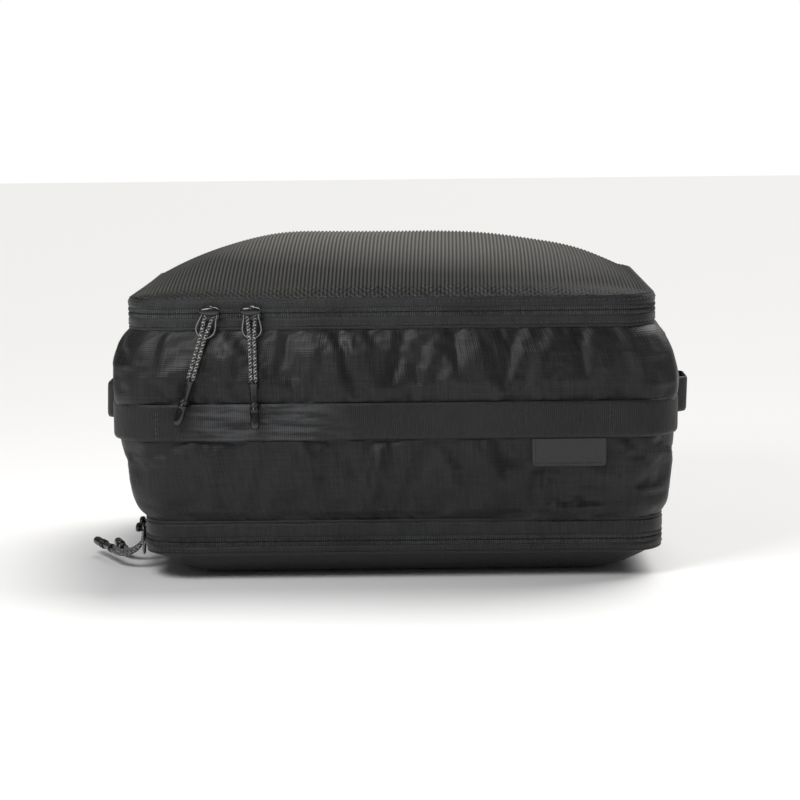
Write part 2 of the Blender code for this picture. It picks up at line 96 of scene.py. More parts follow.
def studio():
    """The camera, a wide overhead light, a soft panel in front, a pale surround and a pale floor."""
    data = bpy.data.cameras.new("camera")
    data.lens = CAMERA_LENS
    data.sensor_width = SENSOR_WIDTH
    camera = add_object("camera", data)
    camera.location = CAMERA_PLACE
    camera.rotation_mode = "YXZ"
    tilt = Euler((math.radians(90.0 - CAMERA_PITCH), 0.0, 0.0)).to_matrix()
    roll = Euler((0.0, 0.0, math.radians(CAMERA_ROLL))).to_matrix()
    camera.rotation_euler = (tilt @ roll).to_euler("YXZ")
    bpy.context.scene.camera = camera

    sun = lamp("overhead", "SUN", SUN_FROM, (0.0, 0.0, 0.0), SUN_STRENGTH)
    sun.data.angle = math.radians(SUN_WIDTH)
    sun.data.color = SUN_COLOUR
    panel = lamp("front_left", "AREA", PANEL_PLACE, PANEL_AIM, PANEL_POWER)
    panel.data.size = PANEL_SIZE
    panel.visible_camera = False

    world = bpy.data.worlds.new("studio")
    bpy.context.scene.world = world
    world.use_nodes = True
    nodes, links = world.node_tree.nodes, world.node_tree.links
    nodes["Background"].inputs["Strength"].default_value = SKY
    nodes["Background"].inputs["Color"].default_value = WHITE
    backdrop = nodes.new("ShaderNodeBackground")
    backdrop.inputs["Color"].default_value = WHITE
    seen = nodes.new("ShaderNodeLightPath")
    both = nodes.new("ShaderNodeMixShader")
    links.new(seen.outputs["Is Camera Ray"], both.inputs[0])
    links.new(nodes["Background"].outputs[0], both.inputs[1])
    links.new(backdrop.outputs[0], both.inputs[2])
    links.new(both.outputs[0], nodes["World Output"].inputs["Surface"])
    bpy.context.scene.view_settings.view_transform = "Standard"

    bpy.ops.mesh.primitive_plane_add(size=FLOOR_SIZE)
    floor = bpy.context.object
    floor.name = "studio_floor"
    look = bpy.data.materials.new("pale_floor")
    look.use_nodes = True
    paper = look.node_tree.nodes["Principled BSDF"]
    paper.inputs["Base Color"].default_value = FLOOR_COLOUR
    paper.inputs["Roughness"].default_value = FLOOR_ROUGHNESS
    floor.data.materials.append(look)


studio()


# --- node materials

class Look:
    """A Principled material with short calls for the nodes that shape it."""

    def __init__(self, name, colour, roughness, **constants):
        self.material = bpy.data.materials.new(name)
        self.material.use_nodes = True
        self.tree = self.material.node_tree
        self.shader = self.tree.nodes["Principled BSDF"]
        self.shader.inputs["Base Color"].default_value = (*colour, 1.0)
        self.shader.inputs["Roughness"].default_value = roughness
        for socket, value in constants.items():
            self.shader.inputs[socket.replace("_", " ")].default_value = value

    def node(self, kind, inputs=(), **settings):
        made = self.tree.nodes.new(kind)
        for key, value in settings.items():
            setattr(made, key, value)
        for socket, value in dict(inputs).items():
            if isinstance(value, bpy.types.NodeSocket):
                self.tree.links.new(value, made.inputs[socket])
            else:
                made.inputs[socket].default_value = value
        return made

    def place(self):
        """Object coordinates, in metres."""
        return self.node("ShaderNodeTexCoord").outputs["Object"]

    def fleck(self):
        """The mesh's own pattern, from 0 to 1: white strands, rib crests or net cords."""
        return self.node("ShaderNodeAttribute", attribute_name="fleck").outputs["Fac"]

    def cloth(self, scale=(1.0, 1.0, 1.0)):
        """The cloth's own coordinates: metres along it and across it."""
        found = self.node("ShaderNodeAttribute", attribute_name="cloth").outputs["Vector"]
        return self.node("ShaderNodeMapping", {"Vector": found, "Scale": scale}).outputs["Vector"]

    def axis(self, vector, name):
        return self.node("ShaderNodeSeparateXYZ", {0: vector}).outputs[name]

    def noise(self, vector, scale, detail=3.0):
        made = self.node("ShaderNodeTexNoise", {"Vector": vector, "Scale": scale, "Detail": detail})
        return made.outputs["Fac"]

    def wave(self, vector, pitch, direction):
        """Bands that repeat every pitch metres."""
        inputs = {"Vector": vector, "Scale": TURN / 20 / pitch, "Distortion": 0.0}
        return self.node("ShaderNodeTexWave", inputs, bands_direction=direction).outputs["Fac"]

    def math(self, operation, a, b):
        return self.node("ShaderNodeMath", {0: a, 1: b}, operation=operation).outputs[0]

    def times(self, a, b):
        return self.math("MULTIPLY", a, b)

    def plus(self, a, b):
        return self.math("ADD", a, b)

    def fit(self, value, low, high, from_low=0.0, from_high=1.0):
        inputs = {"Value": value, "From Min": from_low, "From Max": from_high, "To Min": low, "To Max": high}
        return self.node("ShaderNodeMapRange", inputs).outputs[0]

    def mix(self, factor, dark, light):
        inputs = {"Factor": factor, 6: (*dark, 1.0), 7: (*light, 1.0)}
        return self.node("ShaderNodeMix", inputs, data_type="RGBA").outputs[2]

    def colour(self, factor, dark, light):
        self.tree.links.new(self.mix(factor, dark, light), self.shader.inputs["Base Color"])

    def rough(self, socket):
        self.tree.links.new(socket, self.shader.inputs["Roughness"])

    def bump(self, height, distance):
        made = self.node("ShaderNodeBump", {"Height": height, "Distance": distance, "Strength": 1.0})
        self.tree.links.new(made.outputs["Normal"], self.shader.inputs["Normal"])


# Where the strap's painted sheen, a highlight painted into its colour, comes in and goes out, from left to right.
SHEEN_IN, SHEEN_OUT = (-0.150, -0.125), (-0.070, -0.030)


def woven(name, dark, light, roughness, pitch, sheen, depth, grid=None, painted_crests=False, painted_sheen=0.0, shine=0.35):
    """Plain-weave cloth: threads both ways, an optional heavier grid, soft colour variation and sheen.

    Cloth with marked crests gets painted highlight on its rib crests and painted shade between them; the strap's
    painted sheen strength sets how strongly its painted highlight band shows."""
    look = Look(name, light, roughness, Sheen_Weight=sheen, Sheen_Roughness=0.45, Specular_IOR_Level=shine)
    cloth = look.cloth()
    thread = look.times(look.wave(cloth, pitch, "X"), look.wave(cloth, pitch, "Y"))
    if grid:
        ribs = look.math("MAXIMUM", look.wave(cloth, grid, "X"), look.wave(cloth, grid, "Y"))
        thread = look.plus(thread, look.fit(ribs, 0.0, 0.5, 0.93, 1.0))
    cloudy = look.noise(look.place(), 18.0)
    warp = look.noise(look.cloth((1.0, 0.05, 1.0)), 1.3 / pitch, 2.0)
    weft = look.noise(look.cloth((0.05, 1.0, 1.0)), 1.3 / pitch, 2.0)
    streaks = look.plus(look.fit(warp, -0.30, 0.30, 0.3, 0.7), look.fit(weft, -0.16, 0.16, 0.3, 0.7))
    shade = look.plus(look.times(thread, 0.35), look.fit(cloudy, 0.0, 0.5, 0.3, 0.7))
    shade = look.plus(shade, streaks)
    # Painted highlight and shade: the colour follows the rib relief, paler on the crests and darker in the
    # grooves.
    if painted_crests:
        crest = look.fleck()
        shade = look.times(shade, look.fit(crest, 0.15, 1.45))
    if painted_sheen:
        # Painted highlight: a streaked pale band across the strap's left part, strongest on the rib crests,
        # stands in for sheen reflected there.
        across = look.axis(look.place(), "X")
        sheen_spot = look.times(look.fit(across, 0.0, 1.0, *SHEEN_IN), look.fit(across, 1.0, 0.0, *SHEEN_OUT))
        sheen_streaks = look.fit(look.noise(look.cloth((0.12, 1.0, 1.0)), 300.0), 0.0, 1.3, 0.38, 0.64)
        sheen_spot = look.times(look.times(sheen_spot, sheen_streaks), look.fit(crest, 0.45, 1.2))
        shade = look.plus(look.times(shade, 0.34), look.times(sheen_spot, painted_sheen))
    look.colour(shade, dark, light)
    look.rough(look.fit(cloudy, roughness - 0.06, roughness + 0.08, 0.3, 0.7))
    look.bump(look.plus(thread, streaks), depth)
    return look.material


LID_RIB_PITCH = 2.6 * MM
LID_BAR_PITCH = 2.1 * MM
NET_EDGE = (9.0 * MM, 13.0 * MM)


def mesh_cloth(name):
    """The lid's ribbed mesh: pale rib tops, dark gaps with fine bars, open diamonds beside the seam, and a
    painted highlight that grows towards the dome's top.
    """
    dark, light = (0.004, 0.004, 0.0042), (0.135, 0.128, 0.116)
    look = Look(name, light, 0.6, Sheen_Weight=0.03, Sheen_Roughness=0.3, Specular_IOR_Level=0.2)
    cloth = look.cloth()
    rib, bars = look.wave(cloth, LID_RIB_PITCH, "X"), look.wave(cloth, LID_BAR_PITCH, "Y")
    knit = look.plus(look.times(rib, 0.75), look.times(bars, 0.25))
    beside = look.fit(look.axis(cloth, "Z"), 0.0, 1.0, *NET_EDGE)
    blend = look.node("ShaderNodeMix", {"Factor": beside, 2: look.fleck(), 3: knit}).outputs[0]
    place = look.place()
    cloudy = look.noise(place, 14.0)
    # Painted light: the colour grows paler the higher the mesh stands, and a little towards the right, as though
    # the lid's top were lit.
    stretched = look.plus(look.axis(place, "Z"), look.times(look.axis(place, "X"), 0.05))
    lit = look.times(look.fit(cloudy, 0.75, 1.1, 0.3, 0.7), look.fit(stretched, 0.10, 1.55, 0.206, 0.228))
    look.colour(look.times(blend, lit), dark, light)
    look.rough(look.fit(cloudy, 0.58, 0.76))
    look.bump(look.plus(blend, look.times(look.noise(place, 1200.0, 2.0), 0.4)), 0.35 * MM)
    return look.material


def fleck_cord(name):
    """Braided cord: the white carriers come from the mesh's own braid pattern."""
    look = Look(name, (0.02, 0.02, 0.02), 0.6, Sheen_Weight=0.3, Sheen_Roughness=0.4)
    fibre = look.noise(look.place(), 2600.0, 2.0)
    look.colour(look.fit(look.fleck(), 0.0, 1.0, 0.35, 0.6), (0.016, 0.016, 0.017), (0.62, 0.61, 0.58))
    look.rough(look.fit(fibre, 0.5, 0.75))
    look.bump(fibre, 0.12 * MM)
    return look.material


def moulded(name, colour, roughness, coat, grain, depth, metallic=0.0):
    """Moulded or drawn material: fine grain in the bump, and handling marks in the roughness."""
    look = Look(name, colour, roughness, Coat_Weight=coat, Coat_Roughness=0.12, Metallic=metallic)
    place = look.place()
    marks = look.noise(place, 260.0, 4.0)
    look.rough(look.fit(marks, roughness * 0.75, roughness * 1.4, 0.3, 0.7))
    tint = [min(1.0, channel * 1.5 + 0.004) for channel in colour]
    look.colour(look.fit(marks, 0.0, 1.0, 0.35, 0.75), colour, tint)
    look.bump(look.noise(place, grain, 3.0), depth)
    return look.material


# Woven cloths: name, dark and light colour, roughness, thread pitch, sheen and depth of the weave.
looks = {
    "ripstop": woven(
        "ripstop_cloth", (0.0018, 0.0019, 0.0022), (0.0162, 0.0167, 0.0180), 0.46, 1.3 * MM, 0.10, 0.10 * MM,
        grid=5.2 * MM, shine=0.32,
    ),
    "mesh": mesh_cloth("lid_mesh_cloth"),
    "tape": woven(
        "zip_tape_cloth", (0.005, 0.005, 0.006), (0.028, 0.030, 0.032), 0.60, 0.9 * MM, 0.16, 0.10 * MM,
    ),
    "coil": woven(
        "zip_coil_nylon", (0.003, 0.003, 0.0035), (0.075, 0.078, 0.081), 0.42, 0.5 * MM, 0.1, 0.05 * MM,
        painted_crests=True,
    ),
    "webbing": woven(
        "webbing_weave", (0.003, 0.0032, 0.004), (0.056, 0.058, 0.062), 0.40, 0.66 * MM, 0.10, 0.08 * MM,
        painted_crests=True, painted_sheen=0.75,
    ),
    # Painted shade: the base panel's cloth is the ripstop made darker, as though the bottom gets less light.
    "shaded_underside": woven(
        "underside_cloth", (0.002, 0.002, 0.002), (0.010, 0.010, 0.011), 0.60, 1.3 * MM, 0.08, 0.10 * MM,
    ),
    "lining": woven(
        "lining_cloth", (0.022, 0.023, 0.025), (0.058, 0.060, 0.064), 0.68, 0.8 * MM, 0.2, 0.06 * MM,
    ),
    "thread": woven("sewing_thread", (0.014, 0.014, 0.015), (0.05, 0.05, 0.053), 0.5, 0.3 * MM, 0.3, 0.03 * MM),
    "rubber": moulded("soft_rubber", (0.018, 0.0185, 0.0195), 0.50, 0.0, 2200.0, 0.03 * MM),
    "gloss": moulded("gloss_black", (0.004, 0.004, 0.0045), 0.20, 0.15, 900.0, 0.008 * MM),
    "wire": moulded("gunmetal_wire", (0.22, 0.22, 0.23), 0.24, 0.0, 1200.0, 0.006 * MM, 1.0),
    "cord": fleck_cord("braided_cord"),
}


# --- mesh helpers

REAR_LEAN = 0.022
LEAN_FROM, LEAN_OVER = 0.045, 0.125
FRONT_Y = -0.125


def smooth_step(value):
    t = np.clip(value, 0.0, 1.0)
    return t * t * (3 - 2 * t)


def unit(vectors):
    return vectors / np.linalg.norm(vectors, axis=-1, keepdims=True)


def points_of(x, y, z):
    """Points from their coordinates, each one number or a number for every point."""
    return np.column_stack(np.broadcast_arrays(x, y, z))


def lean(points):
    """The stuffed cube stands askew: the higher and the further back, the more it leans to the right."""
    points = np.array(points, float).reshape(-1, 3)
    height = smooth_step((points[:, 2] - LEAN_FROM) / LEAN_OVER)
    points[:, 0] += REAR_LEAN * (points[:, 1] - FRONT_Y) * height
    return points


def make_mesh(name, points, faces, look, cloth=None, fleck=None, askew=True):
    """An object with its cloth coordinates and its fleck pattern; the pulls are not askew."""
    mesh = bpy.data.meshes.new(name)
    points = lean(points) if askew else np.asarray(points).reshape(-1, 3)
    mesh.from_pydata(points.tolist(), [], faces)
    mesh.shade_smooth()
    if cloth is not None:
        attribute = mesh.attributes.new("cloth", "FLOAT_VECTOR", "POINT")
        attribute.data.foreach_set("vector", np.asarray(cloth, np.float32).ravel())
    if fleck is not None:
        attribute = mesh.attributes.new("fleck", "FLOAT", "POINT")
        attribute.data.foreach_set("value", np.asarray(fleck, np.float32).ravel())
    mesh.materials.append(look)
    return add_object(name, mesh)


def grid_faces(rows, columns, closed=False, start=0, looped=False):
    """Quads of a grid stored row by row; closed joins its last column to the first, and looped its rows."""
    index = np.arange(rows * columns).reshape(rows, columns) + start
    if looped:
        index = np.vstack([index, index[:1]])
    if closed:
        index = np.hstack([index, index[:, :1]])
    a, b = index[:-1, :-1], index[:-1, 1:]
    c, d = index[1:, 1:], index[1:, :-1]
    return np.stack([a, b, c, d], -1).reshape(-1, 4).tolist()


def caps(count, sides, start=0):
    """The two end faces of a tube of count rings."""
    last = start + (count - 1) * sides
    return [list(range(start, start + sides))[::-1], list(range(last, last + sides))]


def rings(path, side, up, reach, sides):
    """A tube's points: a ring about each point of the path, reach wide, that turns from side to up."""
    angle = np.linspace(0, TURN, sides, endpoint=False)[None, :, None]
    up = np.broadcast_to(up, path.shape)
    return path[:, None] + reach * (np.cos(angle) * side[:, None] + np.sin(angle) * up[:, None])


def ring_cloth(walked, radius, sides):
    """Cloth coordinates for a tube's rings, at distances along it."""
    angle = np.linspace(0, TURN, sides, endpoint=False)
    return points_of(np.repeat(walked, sides), np.tile(angle * radius, len(walked)), 0.0)


def thicken(obj, thickness):
    solid = obj.modifiers.new("thickness", "SOLIDIFY")
    solid.thickness = thickness
    solid.offset = -1.0


def sheet(name, points, look, cloth, thickness, closed=False, fleck=None):
    """A surface from a (rows, columns, 3) array, given thickness inwards."""
    obj = make_mesh(name, points, grid_faces(*points.shape[:2], closed), look, cloth, fleck)
    thicken(obj, thickness)
    return obj


def finish_piece(obj, body, slot, *nodes):
    """Put a piece on its body, in place of the CAD nodes it stands for; slot is not used."""
    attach(obj, body)
    if nodes:
        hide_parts(*nodes)
    return obj


# --- the cube's shape, from the frame

wall_low, wall_high = (corner.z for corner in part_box("front_wall"))
strap_low, strap_high = (corner.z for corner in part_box("front_strap"))
base_tape, lid_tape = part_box("base_zip_tape"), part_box("lid_zip_tape")
base_rim, top_rim = base_tape[0].z, lid_tape[1].z
BASE_HALF = (base_tape[1].x - base_tape[0].x) / 2
TOP_HALF = (lid_tape[1].x - lid_tape[0].x) / 2
TOP_CENTRE = (lid_tape[1].x + lid_tape[0].x) / 2
HALF_DEPTH = (lid_tape[1].y - lid_tape[0].y) / 2
CORNER_R = 26 * MM
strap_mid = (strap_low + strap_high) / 2
top_split = (lid_tape[0].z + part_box("case_upper_zip_tape")[1].z) / 2
base_split = (base_tape[1].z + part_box("case_lower_zip_tape")[0].z) / 2

# How far the stuffed walls stand out from the line between the rims, in mm, at fractions of their height.
LEFT_SWELL = ((0, 0), (0.05, 5.0), (0.12, 7.0), (0.41, 11.0), (0.66, 14.5), (0.80, 13.5), (0.93, 8.0), (1, 0))
RIGHT_SWELL = ((0, 0), (0.07, 4.0), (0.26, 7.0), (0.41, 9.5), (0.70, 14.0), (0.86, 11.0), (0.95, 6.0), (1, 0))
FACE_SWELL = ((0, 0), (0.05, 3.2), (0.2, 6.0), (0.5, 7.8), (0.72, 7.6), (0.88, 5.0), (0.96, 2.4), (1, 0))


def swell(table, up):
    """A table's swell at a fraction of the height, eased between its entries, in metres."""
    heights, values = np.array(table, float).T
    fine = np.linspace(0, 1, 201)
    padded = np.pad(np.interp(fine, heights, values), 4, "edge")
    eased = np.convolve(padded, np.ones(9) / 9, "valid")
    eased -= np.interp(fine, [0, 1], [eased[0], eased[-1]])
    return np.interp(up, fine, eased) * MM


def case_section(z):
    """Left x, right x and half depth of the case's cloth at a height."""
    up = min(max((z - wall_low) / (wall_high - wall_low), 0.0), 1.0)
    half = BASE_HALF + (TOP_HALF - BASE_HALF) * up
    centre = TOP_CENTRE * up
    return (
        centre - half - swell(LEFT_SWELL, up), centre + half + swell(RIGHT_SWELL, up),
        HALF_DEPTH + swell(FACE_SWELL, up),
    )


def outline(left, right, half_depth, radius=CORNER_R, front=150, side=104, corner=22, whole=True):
    """Points and outward normals along a rounded rectangle, anticlockwise from the middle of the back.

    When not whole, the path runs along the left side, the front and the right side only."""
    places, normals = [], []

    def straight(a, b, normal, count):
        for step in range(count):
            t = step / count
            places.append((a[0] + (b[0] - a[0]) * t, a[1] + (b[1] - a[1]) * t))
            normals.append(normal)

    def bend(cx, cy, start):
        for step in range(corner):
            angle = math.radians(start + 90 * step / corner)
            normals.append((math.cos(angle), math.sin(angle)))
            places.append((cx + radius * math.cos(angle), cy + radius * math.sin(angle)))

    l, r, d = left + radius, right - radius, half_depth - radius
    middle = (left + right) / 2
    if whole:
        straight((middle, half_depth), (l, half_depth), (0, 1), front // 2)
        bend(l, d, 90)
    straight((left, d), (left, -d), (-1, 0), side)
    bend(l, -d, 180)
    straight((l, -half_depth), (r, -half_depth), (0, -1), front)
    bend(r, -d, 270)
    straight((right, -d), (right, d), (1, 0), side)
    if whole:
        bend(r, d, 0)
        straight((r, half_depth), (middle, half_depth), (0, 1), front // 2)
    else:
        places.append((right, d))
        normals.append((1, 0))
    return np.array(places), np.array(normals, float)


def along(places):
    """Distance along a path at each of its points."""
    return np.concatenate([[0.0], np.cumsum(np.linalg.norm(np.diff(places, axis=0), axis=1))])


def around(places):
    """Distance round a closed path at each of its points, and its whole length last."""
    return along(np.vstack([places, places[:1]]))


def sample(at, walked, values):
    """Rows of values, given at distances walked, read at other distances."""
    return np.stack([np.interp(at, walked, column) for column in values.T], 1)


def resample(places, normals, spacing, closed):
    """The same path at an even spacing: its points, its normals and the distances along it."""
    if closed:
        places = np.vstack([places, places[:1]])
        normals = np.vstack([normals, normals[:1]])
    walked = along(places)
    at = np.linspace(0, walked[-1], max(8, round(walked[-1] / spacing)) + 1)
    if closed:
        at = at[:-1]
    return sample(at, walked, places), unit(sample(at, walked, normals)), at


def swept(rows, places, normals):
    """Grid points for profile rows of (outward, z) along a level path; both may vary along it."""
    return np.array([points_of(*(places.T + normals.T * outward), z) for outward, z in rows])


def cloth_of(rows, walked):
    """Cloth coordinates for a swept grid: along the path, and up the profile."""
    return np.array([points_of(walked, float(np.mean(z)), 0.0) for _, z in rows])


# --- zip pulls

# Name, heading of its zip and turn about the post, in degrees, and which way its slider faces.
PULLS = (
    ("top_left", 0.0, 17.0, 1), ("top_right", 0.0, -1.5, -1), ("base_front", -90.0, 0.0, -1),
    ("base_rear", -90.0, 0.0, 1),
)
LOOP_Y = -0.0043
BIGHT_R = 0.0026
STRAND_OFFSET = 0.00146
CORD_R = 0.0013
# Each doubled cord's route from its post to its moulded end: sideways, outwards, up.
HANGING = (
    (0.0, 0.0, 0.0), (0.0, 0.0002, -0.004), (0.0, 0.0012, -0.009), (0.0, 0.0029, -0.015),
    (0.0, 0.0039, -0.022), (0.0, 0.0053, -0.032), (0.0, 0.0076, -0.0447),
)
HANGING_END = ((0.0, 0.0077, -0.045), (0.0, 0.0110, -0.076))
LYING_OUT = (
    (0.0, 0.0, 0.0), (0.0, 0.0004, -0.004), (0.0, 0.0022, -0.0095), (-0.001, 0.0068, -0.0140),
    (-0.005, 0.0125, -0.0165), (-0.012, 0.0180, -0.0178), (-0.0205, 0.0225, -0.0180),
    (-0.0262, 0.0255, -0.0178),
)
LYING_OUT_END = ((-0.02646, 0.02565, -0.0178), (-0.0533, 0.0405, -0.0170))
LYING_BACK = (
    (0.0, 0.0, 0.0), (0.0, 0.0004, -0.004), (0.0, 0.0022, -0.0095), (-0.002, 0.0064, -0.0150),
    (-0.0065, 0.0112, -0.0192), (-0.0135, 0.0155, -0.0221), (-0.0220, 0.0188, -0.0233),
    (-0.0290, 0.0207, -0.0236),
)
LYING_BACK_END = ((-0.02929, 0.02078, -0.0236), (-0.0592, 0.0290, -0.0239))
ROUTES = {
    "top_left": (HANGING, HANGING_END), "top_right": (HANGING, HANGING_END),
    "base_front": (LYING_OUT, LYING_OUT_END), "base_rear": (LYING_BACK, LYING_BACK_END),
}


def pull_frame(name, heading, turn):
    """The function that takes points from the pull's own axes, at its post, into the frame."""
    low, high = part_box(f"{name}_slider")
    if heading == 0.0:
        post = np.array([(low.x + high.x) / 2, -HALF_DEPTH + LOOP_Y, top_split])
    else:
        post = np.array([-BASE_HALF + LOOP_Y, (low.y + high.y) / 2, base_split])
    turned = Matrix.Rotation(math.radians(heading), 3, "Z") @ Matrix.Rotation(math.radians(turn), 3, "Y")
    return lambda points: np.asarray(points, float) @ np.array(turned).T + post


def smooth_route(route, spacing):
    """Points at even spacing along a smooth curve through the route's own points."""
    knots = [np.array(point, float) for point in route]
    knots = [2 * knots[0] - knots[1]] + knots + [2 * knots[-1] - knots[-2]]
    fine = []
    for a, b, c, d in zip(knots, knots[1:], knots[2:], knots[3:]):
        for t in np.linspace(0, 1, 24, endpoint=False):
            square, cube = 2 * a - 5 * b + 4 * c - d, 3 * b - a - 3 * c + d
            fine.append(0.5 * (2 * b + (c - a) * t + square * t**2 + cube * t**3))
    fine = np.array(fine + [knots[-2]])
    walked = along(fine)
    return sample(np.linspace(0, walked[-1], max(2, round(walked[-1] / spacing)) + 1), walked, fine)


def doubled_path(route):
    """The cord's centreline in the pull's axes: up one strand, round the post, and down the other."""
    spine = smooth_route([(p[0], -p[1], p[2]) for p in route], 4 * MM)
    left, right = [], []
    for i, place in enumerate(spine):
        ahead = spine[min(i + 1, len(spine) - 1)] - spine[max(i - 1, 0)]
        beside = unit(np.cross(unit(ahead), (0, -1.0, 0) if i < 3 else (0, -1.0, 1.0)))
        if beside[0] > 0:
            beside = -beside
        offset = BIGHT_R + (STRAND_OFFSET - BIGHT_R) * min(1.0, i / 4)
        left.append(place + beside * offset)
        right.append(place - beside * offset)
    bight = []
    for step in range(1, 6):
        angle = math.pi - math.pi * step / 6
        bight.append(spine[0] + np.array([BIGHT_R * math.cos(angle), 0.0, BIGHT_R * math.sin(angle)]))
    return np.array(left[::-1] + bight + right)


def moving_frame(path):
    """Two directions across the path at each point, carried along it without twist."""
    ahead = unit(np.gradient(path, axis=0))
    side = np.cross(ahead[0], [0.3, 1.0, 0.1])
    sides = []
    for direction in ahead:
        side = unit(side - direction * (side @ direction))
        sides.append(side)
    sides = np.array(sides)
    return sides, np.cross(ahead, sides)


CORD_SIDES = 30
CARRIERS = 10
BRAID_LAY = 4.4 * MM
BRAID_STEP = 0.30 * MM
# The white carriers, counted round the cord, that wind to the right and to the left.
WHITE_RIGHT, WHITE_LEFT = 1, (3, 8)


def braided_tube(name, path):
    """A braided cord: two families of carriers cross over each other, and a few of them are white."""
    path = smooth_route(path, BRAID_STEP)
    angle = np.linspace(0, TURN, CORD_SIDES, endpoint=False)[None]
    turns = along(path)[:, None] / BRAID_LAY
    right_hand = (angle / TURN + turns) * CARRIERS
    left_hand = (angle / TURN - turns) * CARRIERS
    over = np.cos(math.pi * (right_hand + left_hand)) * np.cos(math.pi * (right_hand - left_hand))
    bulge = 0.5 * (np.abs(np.sin(math.pi * right_hand)) + np.abs(np.sin(math.pi * left_hand)))
    reach = CORD_R * (0.90 + 0.10 * bulge)
    on_top = over > 0
    carrier = np.where(on_top, np.floor(right_hand), np.floor(left_hand)).astype(int) % CARRIERS
    white = np.where(on_top, carrier == WHITE_RIGHT, np.isin(carrier, WHITE_LEFT)).astype(float)
    points = rings(path, *moving_frame(path), reach[..., None], CORD_SIDES)
    faces = grid_faces(len(path), CORD_SIDES, True) + caps(len(path), CORD_SIDES)
    return make_mesh(name, points, faces, looks["cord"], fleck=white, askew=False)


def pull_cord(name, to_frame, grip):
    path = to_frame(doubled_path(ROUTES[name][0]))
    cord = finish_piece(
        braided_tube(f"{name}_braided_cord", path), f"{name}_pull", "fleck_cord", f"{name}_cord",
    )
    length = along(smooth_route(path, 1 * MM))[-1]


WIRE_R = 0.00065
WIRE_SIDES = 14
WIRE_TOP_R = 0.0048
WIRE_HALF_WIDTH = 0.0062
WIRE_DROP = 0.0160
# The moulded end's outline from its mouth to its tip: radius and height, in millimetres.
END_PROFILE = (
    (0, 0), (2.6, 0), (3.1, -0.2), (3.2, -0.8), (2.8, -3.5), (2.5, -8.0), (2.4, -12.8), (2.6, -13.3),
    (3.2, -13.6), (3.3, -14.2), (3.2, -14.9), (2.7, -15.3), (2.6, -16.0), (2.7, -16.7), (3.2, -17.1),
    (3.3, -17.8), (3.2, -18.5), (2.8, -19.0), (2.8, -20.5), (3.0, -22.8), (3.1, -25.5), (3.0, -28.0),
    (2.6, -29.7), (1.9, -30.7), (1.0, -31.1), (0, -31.2),
)


def moulded_end(name, to_frame):
    """The turned grip on the cord's two ends."""
    mouth, tip = (np.array([p[0], -p[1], p[2]]) for p in ROUTES[name][1])
    turn = Vector((0.0, 0.0, -1.0)).rotation_difference(Vector(tip - mouth)).to_matrix()
    angle = np.linspace(0, TURN, 32, endpoint=False)
    profile = smooth_route([(r * MM, 0.0, z * MM) for r, z in END_PROFILE], 0.35 * MM)
    radius, height = np.clip(profile[:, :1], 0.02 * MM, None), profile[:, 2:]
    points = np.dstack([radius * np.cos(angle), radius * np.sin(angle), height + 0 * angle])
    points = to_frame(points @ np.array(turn).T + mouth)
    obj = make_mesh(f"{name}_grip", points, grid_faces(*points.shape[:2], True), looks["gloss"], askew=False)
    return finish_piece(obj, f"{name}_pull", "gloss_black", f"{name}_cord_end")


def wire_loop(name, to_frame):
    """The teardrop of wire round the post."""
    lower = WIRE_HALF_WIDTH - WIRE_DROP

    def half_turn(radius, height, start):
        angles = np.linspace(start, start + math.pi, 25)
        return [(radius * math.cos(a), 0.0, height + radius * math.sin(a)) for a in angles]

    leg = [
        (WIRE_TOP_R + (WIRE_HALF_WIDTH - WIRE_TOP_R) * smooth_step(t), 0.0, lower * t)
        for t in np.linspace(0, 1, 12)[1:-1]
    ]
    path = half_turn(WIRE_TOP_R, 0.0, 0.0) + [(-x, y, z) for x, y, z in leg]
    path = np.array(path + half_turn(WIRE_HALF_WIDTH, lower, math.pi) + leg[::-1])
    ahead = unit(np.roll(path, -1, 0) - np.roll(path, 1, 0))
    out = np.array([0.0, 1.0, 0.0])
    points = to_frame(rings(path, np.cross(ahead, out), out, WIRE_R, WIRE_SIDES))
    faces = grid_faces(len(path), WIRE_SIDES, True, looped=True)
    obj = make_mesh(f"{name}_wire", points, faces, looks["wire"], askew=False)
    finish_piece(obj, f"{name}_pull", "gunmetal_wire", f"{name}_wire_loop")


def pillow(size, power, steps=36):
    """A rounded block about the origin, softer at its corners the lower the power."""
    u = np.linspace(-math.pi / 2, math.pi / 2, steps // 2 + 1)[:, None]
    v = np.linspace(0, TURN, steps, endpoint=False)[None]

    def bent(value):
        return np.sign(value) * np.abs(value) ** (2 / power)

    x = bent(np.cos(u)) * bent(np.cos(v)) * size[0] / 2
    y = bent(np.cos(u)) * bent(np.sin(v)) * size[1] / 2
    z = bent(np.sin(u)) * size[2] / 2 + 0 * v
    return np.dstack([x, y, z])


# The slider's blocks: size, place in its own axes with x towards its mouth, and how square each is.
SLIDER_BLOCKS = (
    ((0.0138, 0.0042, 0.0062), (0.0, -0.0078, 0.0024), 2.5),  # bridge
    ((0.0030, 0.0058, 0.0026), (0.0, -0.0046, 0.0008), 3.0),  # bridge foot
    ((0.0128, 0.0022, 0.0086), (0.0, -0.0015, 0.0), 4.5),  # front plate
    ((0.0096, 0.0026, 0.0012), (-0.0012, -0.0012, 0.0040), 4.0),  # upper flange
    ((0.0096, 0.0026, 0.0012), (-0.0012, -0.0012, -0.0040), 4.0),  # lower flange
    ((0.0042, 0.0058, 0.0011), (0.0032, 0.0014, 0.0), 4.0),  # neck
    ((0.0116, 0.0013, 0.0074), (0.0, 0.0044, 0.0), 4.5),  # back plate
)
NARROWED_FROM = 0.008


